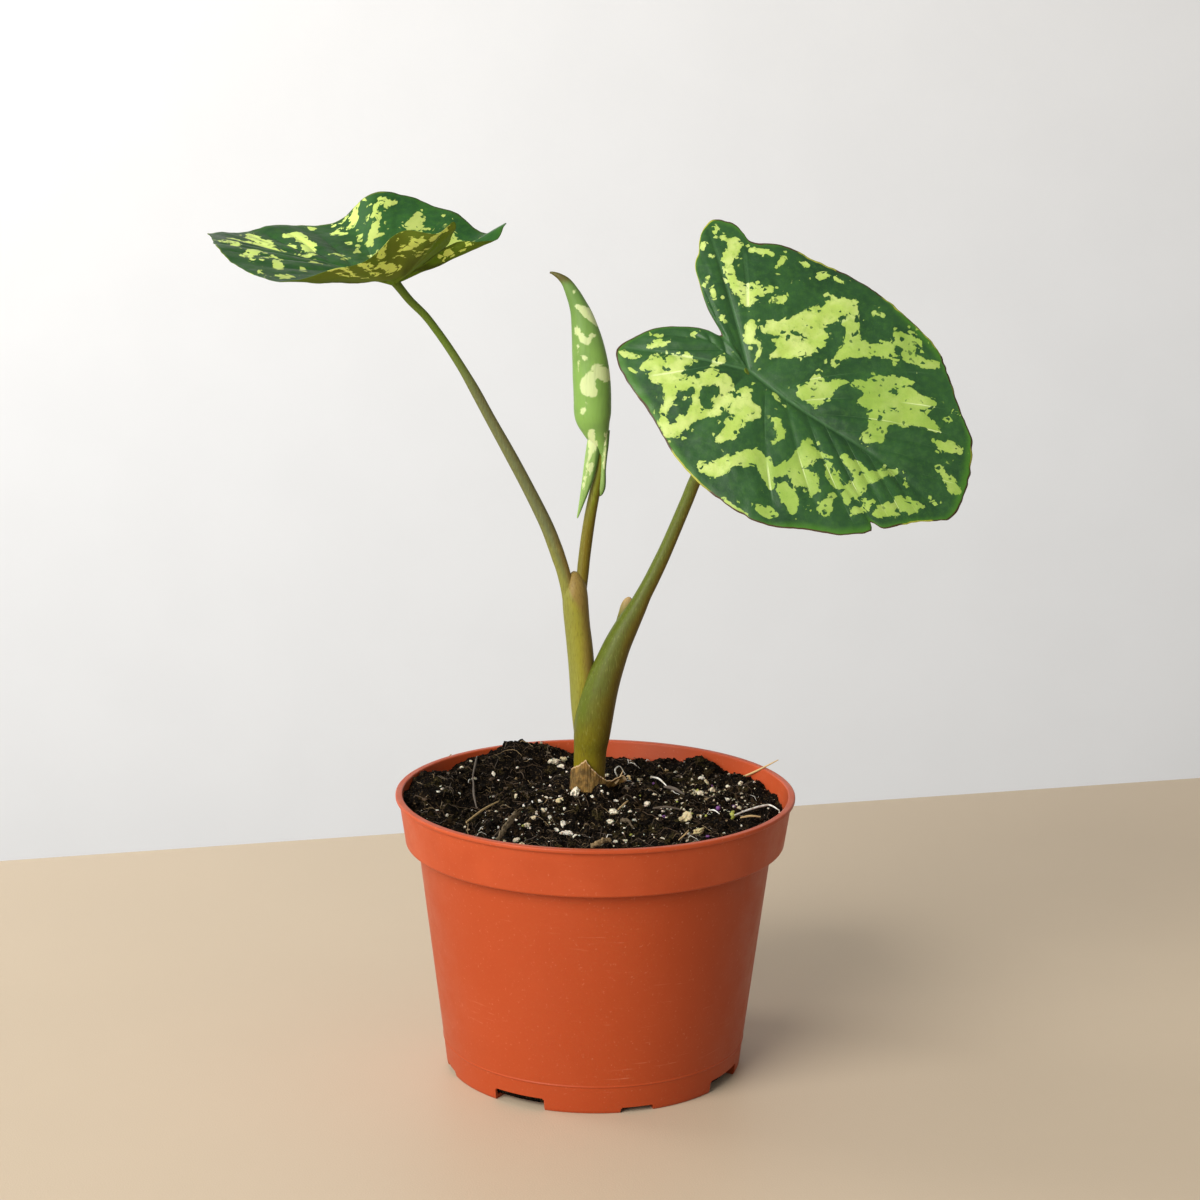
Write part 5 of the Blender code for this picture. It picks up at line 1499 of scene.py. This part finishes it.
def mottled_blade():
    finish, shader, where = new_finish("mottled leaf", 0.42, 0.28)
    underside = measure(where, "underside")
    course = measure(where, "course")
    main_gap = measure(where, "main_gap")
    outward = measure(where, "outward")
    from_margin = measure(where, "from_margin")
    along = measure(where, "along")
    drying = measure(where, "drying")

    # Blotches end along the veinlets; few dark islets lie in them and few pale ones beside them
    warp = put(where, "ShaderNodeTexNoise", {"Vector": where, "Scale": 300.0, "Detail": 2.0})
    sockets = {0: warp.outputs["Color"], 1: (0.0016,) * 3, 2: where}
    bent = put(where, "ShaderNodeVectorMath", sockets, operation="MULTIPLY_ADD").outputs[0]
    reach = frayed(bent, measure(where, "blotch"), 2.2, 1.75, 0.6)
    pick = cells(bent, 620.0)
    spot = times(ramp(pick, 0.972, 0.974), ramp(reach, -3.0, -2.0))
    blotch = larger(ramp(reach, -0.06, 0.10), spot)
    islet = times(ramp(pick, 0.030, 0.028), ramp(reach, 3.4, 2.2))
    speck = ramp(cells(bent, 1050.0), 0.020, 0.017, 0.0, 0.75)
    blotch = times(blotch, minus(1.0, larger(islet, speck)))

    # Upper skin
    cloud = grain(where, 38.0, 3.0, 0.55)
    fine = grain(where, 420.0, 4.0, 0.65)
    green = blend(ramp(cloud, 0.34, 0.68), BLADE_DARK, BLADE_GREEN)
    green = blend(ramp(fine, 0.40, 0.75, 0.0, 0.3), green, BLADE_FRESH)
    rim = calc("MULTIPLY_ADD", grain(where, 26.0, 1.0), 9.0, from_margin)
    green = blend(times(ramp(rim, 7.6, 4.2, 0.0, 0.85), drying), green, BLADE_FRESH)
    lime = blend(ramp(grain(where, 120.0, 3.0), 0.36, 0.64), BLOTCH_LIME, BLOTCH_PALE)
    lime = blend(ramp(fine, 0.50, 0.72, 0.0, 0.5), lime, BLOTCH_GREEN)
    # The right blade's patches turn greener towards its middle and tip
    riper = times(ramp(along, 8.0, 34.0, 0.0, 0.78), drying)
    riper = times(riper, ramp(grain(where, 55.0, 2.0), 0.35, 0.55, 0.6, 1.0))
    lime = blend(riper, lime, BLOTCH_GREEN)
    lime = blend(ramp(reach, 1.1, 0.1, 0.0, 0.30), lime, BLOTCH_GREEN)
    # The left blade's are yellower, and palest towards its tip
    fair = minus(1.0, drying)
    lime = blend(fair, lime, LEFT_LIME)
    lime = blend(times(fair, ramp(along, 22.0, 46.0)), lime, LEFT_PALE)
    top = blend(blotch, green, lime)

    # Veins: a light line on the midrib and basal veins, faint ones to the sides
    main = times(ramp(main_gap, 0.9, 0.2), ramp(outward, 80.0, 20.0, 0.05, 0.55))
    between = calc("ABSOLUTE", minus(calc("FRACT", plus(course, 0.5)), 0.5))
    side = times(ramp(between, 0.036, 0.010), ramp(from_margin, 2.0, 12.0))
    side = times(side, ramp(grain(where, 50.0, 2.0), 0.44, 0.62))
    shown = times(side, ramp(blotch, 0.0, 1.0, 0.25, 0.6))
    top = blend(larger(main, shown), top, blend(blotch, VEIN_ON_GREEN, VEIN_ON_BLOTCH))

    # Underside: olive, with darker veins that fan out from the stalk
    olive = blend(ramp(cloud, 0.35, 0.7), UNDER_OLIVE, UNDER_WARM)
    # Painted light: the blotches seen from below are brighter than their own yellow, as light
    # shining through the blade
    low = blend(times(blotch, 0.9), olive, UNDER_YELLOW_GLOW)
    rays = times(ramp(between, 0.20, 0.06), ramp(outward, 60.0, 12.0, 0.1, 0.75))
    low = blend(rays, low, UNDER_RAY)
    low = blend(ramp(main_gap, 1.6, 0.6, 0.0, 0.6), low, UNDER_MIDRIB)
    skin = blend(ramp(underside, 0.4, 0.6), top, low)

    # Margin: a thin dried line, broken here and there by a yellow stretch
    dried = calc("MULTIPLY_ADD", grain(where, 150.0, 2.0), 1.3, from_margin)
    tone = blend(ramp(grain(where, 45.0, 1.0), 0.56, 0.6), MARGIN_BROWN, MARGIN_YELLOW)
    skin = blend(times(ramp(dried, 1.45, 1.05), drying), skin, tone)
    feed(shader, "Base Color", skin)
    # The underside is duller
    dull = calc("MULTIPLY_ADD", underside, 0.3, ramp(fine, 0.3, 0.7, 0.38, 0.50))
    feed(shader, "Roughness", dull)
    wet = times(ramp(underside, 0.4, 0.6, 0.30, 0.08), ramp(drying, 0.2, 1.0, 0.3, 1.0))
    feed(shader, "Specular IOR Level", wet)
    soften(shader, 0.08, 0.0008, (0.6, 1.0, 0.25))
    relief = times(larger(main, side), -0.8)
    relief = calc("MULTIPLY_ADD", grain(where, 1700.0, 2.0), 0.3, relief)
    relief = calc("MULTIPLY_ADD", fine, 0.6, relief)
    raise_with(shader, relief, 0.00022, 0.7)
    return finish


blade_finish = mottled_blade()
right_blade = open_blade(
    "blade_right", RIGHT_MARGIN, RIGHT_SET, RIGHT_BASAL, RIGHT_BLOTCHES, RIGHT_ISLANDS,
    RIGHT_NICKS, seed=1.0, drying=1.0,
)
hang(right_blade, "mottled_leaf", blade_finish, "leaf_right")
left_blade = open_blade(
    "blade_left", LEFT_MARGIN, LEFT_SET, LEFT_BASAL, LEFT_BLOTCHES, LEFT_ISLANDS,
    nicks=(), seed=7.0, drying=0.25,
)
hang(left_blade, "mottled_leaf", blade_finish, "leaf_left")

# ---- Rolled blade
# The youngest leaf, still rolled round itself like a cigar, with its basal lobes folded down
# beside its stalk. Pale fresh green with cream blotches; the beak at its tip is drying.

# Centre line x, y, z, then half width and half depth
ROLL = (
    (-19.6, 14.0, 318.5, 0.35, 0.35), (-18.2, 14.0, 318.2, 0.7, 0.6),
    (-15.6, 14.0, 316.9, 1.35, 1.1), (-13.0, 14.2, 314.6, 2.1, 1.7), (-10.6, 14.5, 310.6, 2.9, 2.5),
    (-8.6, 14.8, 306.4, 3.6, 3.2), (-6.6, 15.1, 300.8, 4.8, 4.1), (-4.6, 15.5, 291.6, 6.4, 5.3),
    (-3.1, 15.8, 281.5, 7.5, 6.2), (-2.4, 16.0, 271.5, 7.85, 6.6), (-2.1, 16.0, 262.5, 7.6, 6.2),
    (-0.9, 16.0, 256.6, 5.7, 4.8), (0.8, 15.8, 251.2, 3.4, 3.0), (1.8, 15.5, 247.8, 1.9, 1.8),
    (2.3, 15.4, 245.8, 0.9, 0.9),
)
ROLL_LOBES = (
    (
        (-0.8, 15.4, 259.0, 3.2, 1.8), (-1.4, 14.8, 254.0, 2.8, 1.4), (-2.6, 14.1, 246.0, 2.7, 1.0),
        (-3.8, 13.9, 238.8, 2.35, 0.8), (-5.3, 14.0, 232.2, 1.65, 0.65),
        (-6.4, 14.1, 227.8, 1.1, 0.5), (-7.9, 14.3, 222.2, 0.4, 0.35),
        (-8.2, 14.3, 221.2, 0.15, 0.15),
    ),
    (
        (1.6, 15.6, 256.0, 2.9, 2.0), (2.3, 15.1, 250.5, 1.8, 1.7), (2.35, 15.1, 246.7, 1.25, 1.4),
        (2.05, 15.4, 241.0, 1.05, 1.3), (1.95, 15.6, 236.5, 1.15, 1.2),
        (1.7, 16.0, 233.3, 1.2, 1.0), (1.0, 16.8, 230.8, 0.9, 0.6), (0.5, 17.2, 229.7, 0.25, 0.25),
    ),
)
ROLL_SIDES = 96
LOBE_SIDES = 36
# How much the free edge of the roll stands proud, and where
ROLL_STEP = 0.14
ROLL_EDGE = math.radians(150)
# Cream blotches seen from the front: x, z and half width; the back has its own
ROLL_BLOTCHES = (
    ((-10.2, 311.4, 0.7), (-9.9, 310.8, 0.6)),
    ((-9.2, 305.6, 0.7), (-7.2, 304.6, 1.3), (-4.8, 303.4, 2.0), (-2.4, 301.0, 2.2),
     (-0.6, 298.4, 1.3)),
    ((-8.7, 298.2, 0.8), (-8.2, 295.2, 1.1), (-6.4, 292.8, 1.6), (-4.5, 291.8, 1.2),
     (-2.6, 294.4, 1.0)),
    ((-8.2, 290.3, 0.35), (-8.2, 287.2, 0.35)),
    ((-6.4, 286.2, 0.5), (-5.2, 285.5, 0.9)),
    ((-8.3, 284.3, 0.3), (-8.1, 280.2, 0.35)),
    ((-1.0, 281.4, 2.2), (1.4, 279.6, 3.0), (4.2, 278.6, 2.6)),
    ((-2.4, 278.4, 2.2), (-4.4, 275.6, 2.6)),
    ((-5.4, 276.6, 1.5), (-4.2, 273.4, 3.3), (-2.8, 272.6, 2.4)),
    ((-5.0, 268.0, 0.4),),
    ((-6.0, 265.0, 0.8), (-6.4, 263.8, 0.5)),
    ((3.2, 255.2, 0.9), (2.6, 247.0, 0.8), (2.3, 241.0, 0.5)),
    ((-2.6, 256.2, 1.2), (-2.2, 251.0, 2.0), (-3.6, 246.0, 1.2), (-4.8, 242.0, 0.5)),
    ((-4.6, 240.4, 0.7), (-5.9, 233.0, 0.8)), ((-2.6, 243.0, 0.5), (-3.4, 239.0, 0.6)),
)
BACK_BLOTCHES = (
    ((1.0, 305.0, 1.0), (-2.0, 298.0, 1.8)), ((-6.0, 288.0, 1.4), (-2.0, 284.0, 1.2)),
    ((3.0, 276.0, 1.6), (1.0, 270.0, 2.4), (-3.0, 268.0, 1.4)), ((-5.0, 276.0, 1.0),),
    ((2.0, 258.0, 1.0), (0.0, 252.0, 1.2)),
)
YOUNG_GREEN = (0.205, 0.360, 0.075)
YOUNG_DEEP_AND_SHADE = (0.115, 0.215, 0.055)
YOUNG_CREAM = (0.60, 0.68, 0.34)
YOUNG_LOBE_SIDE = (0.055, 0.120, 0.022)
YOUNG_DRY = (0.100, 0.090, 0.020)


def rolled_loft(stations, sides, step, edge_at, start):
    """Rings across a centre line, each a spiral of one turn whose free edge stands a step proud."""
    run = smooth(stations, 9)
    points = []
    count = sides + (1 if step else 0)
    for i, (x, y, z, half_width, half_depth) in enumerate(run):
        way = Vector(run[max(i - 1, 0)][:3]) - Vector(run[min(i + 1, len(run) - 1)][:3])
        deep = Vector((0.0, 1.0, 0.0))
        wide = deep.cross(way.normalized()).normalized()
        for side in range(count):
            turn = math.tau * side / sides
            size = 1.0 - step * turn / math.tau
            around = Vector((math.cos(turn), math.sin(turn), z / 9.0))
            bulge = 1 + 0.02 * noise.noise(around * 1.5)
            angle = edge_at + turn
            offset = wide * half_width * math.cos(angle) + deep * half_depth * math.sin(angle)
            points.append(tuple(Vector((x, y, z)) + offset * size * bulge))
    return points, closed_quads(start, len(run), count)


def rolled_piece():
    points, faces = rolled_loft(ROLL, ROLL_SIDES, ROLL_STEP, ROLL_EDGE, 0)
    lobe_mark = [0.0] * len(points)
    for stations in ROLL_LOBES:
        made, made_faces = rolled_loft(stations, LOBE_SIDES, 0.0, 0.0, len(points))
        points += made
        faces += made_faces
        # From 1 on a lobe's left side to 2 on its right
        for i in range(len(made)):
            turn = math.tau * (i % LOBE_SIDES) / LOBE_SIDES
            lobe_mark.append(1.5 + 0.5 * math.cos(turn))
    piece = new_piece("blade_rolled", points, faces, 50)
    shape = bmesh.new()
    shape.from_mesh(piece.data)
    bmesh.ops.recalc_face_normals(shape, faces=shape.faces)
    shape.to_mesh(piece.data)
    shape.free()
    spots = np.array(points)
    front = brush_reach(spots[:, 0], spots[:, 2], ROLL_BLOTCHES)
    back = brush_reach(spots[:, 0], spots[:, 2], BACK_BLOTCHES)
    run = smooth(ROLL, 9)[::-1]
    centre = np.interp(spots[:, 2], run[:, 2], run[:, 1])
    carry(piece, "blotch", np.clip(np.where(spots[:, 1] < centre + 0.5, front, back), -9, 9))
    carry(piece, "lobe", lobe_mark)
    return piece


def young_skin():
    finish, shader, where = new_finish("young leaf", 0.42, 0.3)
    parts = put(where, "ShaderNodeSeparateXYZ", {0: where})
    cloud = grain(where, 80.0, 3.0)
    ribs = grain(stretched(where, 900.0, 90.0), 1.0, 3.0, 0.55)
    base = blend(ramp(cloud, 0.38, 0.75, 0.0, 0.5), YOUNG_GREEN, YOUNG_DEEP_AND_SHADE)
    # Painted shade: the upper part and the right side of the roll are darkened towards the deep
    # green
    high = ramp(parts.outputs[2], 0.280, 0.310)
    right = ramp(parts.outputs[0], -0.002, 0.005, 0.0, 0.7)
    base = blend(times(larger(high, right), 0.7), base, YOUNG_DEEP_AND_SHADE)
    lobe = measure(where, "lobe")
    base = blend(ramp(lobe, 0.2, 0.8, 0.0, 0.12), base, YOUNG_CREAM)
    reach = frayed(where, measure(where, "blotch"), 1.6, 0.9, 0.4)
    base = blend(ramp(reach, -0.15, 0.45, 0.0, 0.88), base, YOUNG_CREAM)
    # Each lobe darkens to a deep green along its right side
    folded = calc("MULTIPLY_ADD", cloud, 0.3, lobe)
    base = blend(ramp(folded, 1.80, 2.0, 0.0, 0.9), base, YOUNG_LOBE_SIDE)
    base = blend(ramp(ribs, 0.5, 0.75, 0.0, 0.25), base, YOUNG_DEEP_AND_SHADE)
    dry = calc("MULTIPLY_ADD", cloud, 0.008, parts.outputs[2])
    base = blend(ramp(dry, 0.3175, 0.3215), base, YOUNG_DRY)
    feed(shader, "Base Color", base)
    soften(shader, 0.2, 0.0015, (0.6, 1.0, 0.25))
    raise_with(shader, ribs, 0.00018, 0.6)
    return finish


rolled = rolled_piece()
hang(rolled, "young_leaf", young_skin(), "leaf_new")

# ---- Table, light and camera
# A pale table under soft light from the upper left, in front of a plain light wall.

TABLE_COLOUR = (0.55, 0.445, 0.32)
WALL_COLOUR = (0.86, 0.86, 0.86)
# The table's rear edge, as two points of it
TABLE_REAR = ((-0.301, 0.253), (0.345, 0.428))
CAMERA_PLACE = (0.001148, -1.00466, 0.40318)
CAMERA_PITCH = 0.2081
CAMERA_ROLL = 0.009
CAMERA_LENS = 78.0


def flat_finish(name, colour, roughness, relief):
    finish, shader, where = new_finish(name, roughness, 0.3)
    cloud = ramp(grain(where, 9.0, 4.0), 0.3, 0.7, 0.0, 0.25)
    darker = tuple(0.93 * part for part in colour)
    feed(shader, "Base Color", blend(cloud, colour, darker))
    raise_with(shader, grain(where, 1400.0, 3.0), relief, 0.4)
    return finish


def stage_sheet(name, corners, finish):
    mesh = bpy.data.meshes.new(name)
    mesh.from_pydata(corners, [], [tuple(range(len(corners)))])
    sheet = bpy.data.objects.new(name, mesh)
    bpy.context.scene.collection.objects.link(sheet)
    mesh.materials.append(finish)


def soft_light(name, spot, aim, size, power, colour):
    lamp = bpy.data.lights.new(name, "AREA")
    lamp.shape = "DISK"
    lamp.size = size
    lamp.energy = power
    lamp.color = colour
    holder = bpy.data.objects.new(name, lamp)
    holder.location = spot
    holder.rotation_euler = (Vector(aim) - Vector(spot)).to_track_quat("-Z", "Y").to_euler()
    bpy.context.scene.collection.objects.link(holder)


rear_way = Vector((*TABLE_REAR[1], 0.0)) - Vector((*TABLE_REAR[0], 0.0))
rear_left = Vector((*TABLE_REAR[0], 0.0)) - rear_way * 3
rear_right = Vector((*TABLE_REAR[1], 0.0)) + rear_way * 3
stage_sheet(
    "table", [(-2.2, -2.4, 0.0), (2.4, -2.4, 0.0), tuple(rear_right), tuple(rear_left)],
    flat_finish("table laminate", TABLE_COLOUR, 0.5, 0.0002),
)
stage_sheet(
    "wall", [(-4.0, 1.9, -2.0), (4.0, 1.9, -2.0), (4.0, 1.9, 3.0), (-4.0, 1.9, 3.0)],
    flat_finish("wall paint", WALL_COLOUR, 0.9, 0.0004),
)
soft_light(
    "window light", spot=(-1.05, -1.3, 1.0), aim=(0.0, 0.0, 0.12), size=1.5, power=52.0,
    colour=(1.0, 0.985, 0.95),
)
soft_light(
    "wall light", spot=(-1.3, 0.5, 0.9), aim=(-0.5, 1.9, 0.3), size=1.4, power=20.0,
    colour=(1.0, 0.995, 0.99),
)

world = bpy.data.worlds.new("studio")
world.use_nodes = True
world.node_tree.nodes["Background"].inputs["Color"].default_value = (1.0, 0.98, 0.95, 1.0)
world.node_tree.nodes["Background"].inputs["Strength"].default_value = 0.34
bpy.context.scene.world = world
bpy.context.scene.view_settings.view_transform = "Standard"

camera = bpy.data.objects.new("camera", bpy.data.cameras.new("camera"))
camera.data.lens = CAMERA_LENS
camera.data.sensor_width = 36.0
camera.matrix_world = (
    Matrix.Translation(CAMERA_PLACE)
    @ Matrix.Rotation(math.pi / 2 - CAMERA_PITCH, 4, "X")
    @ Matrix.Rotation(CAMERA_ROLL, 4, "Z")
)
bpy.context.scene.collection.objects.link(camera)
bpy.context.scene.camera = camera
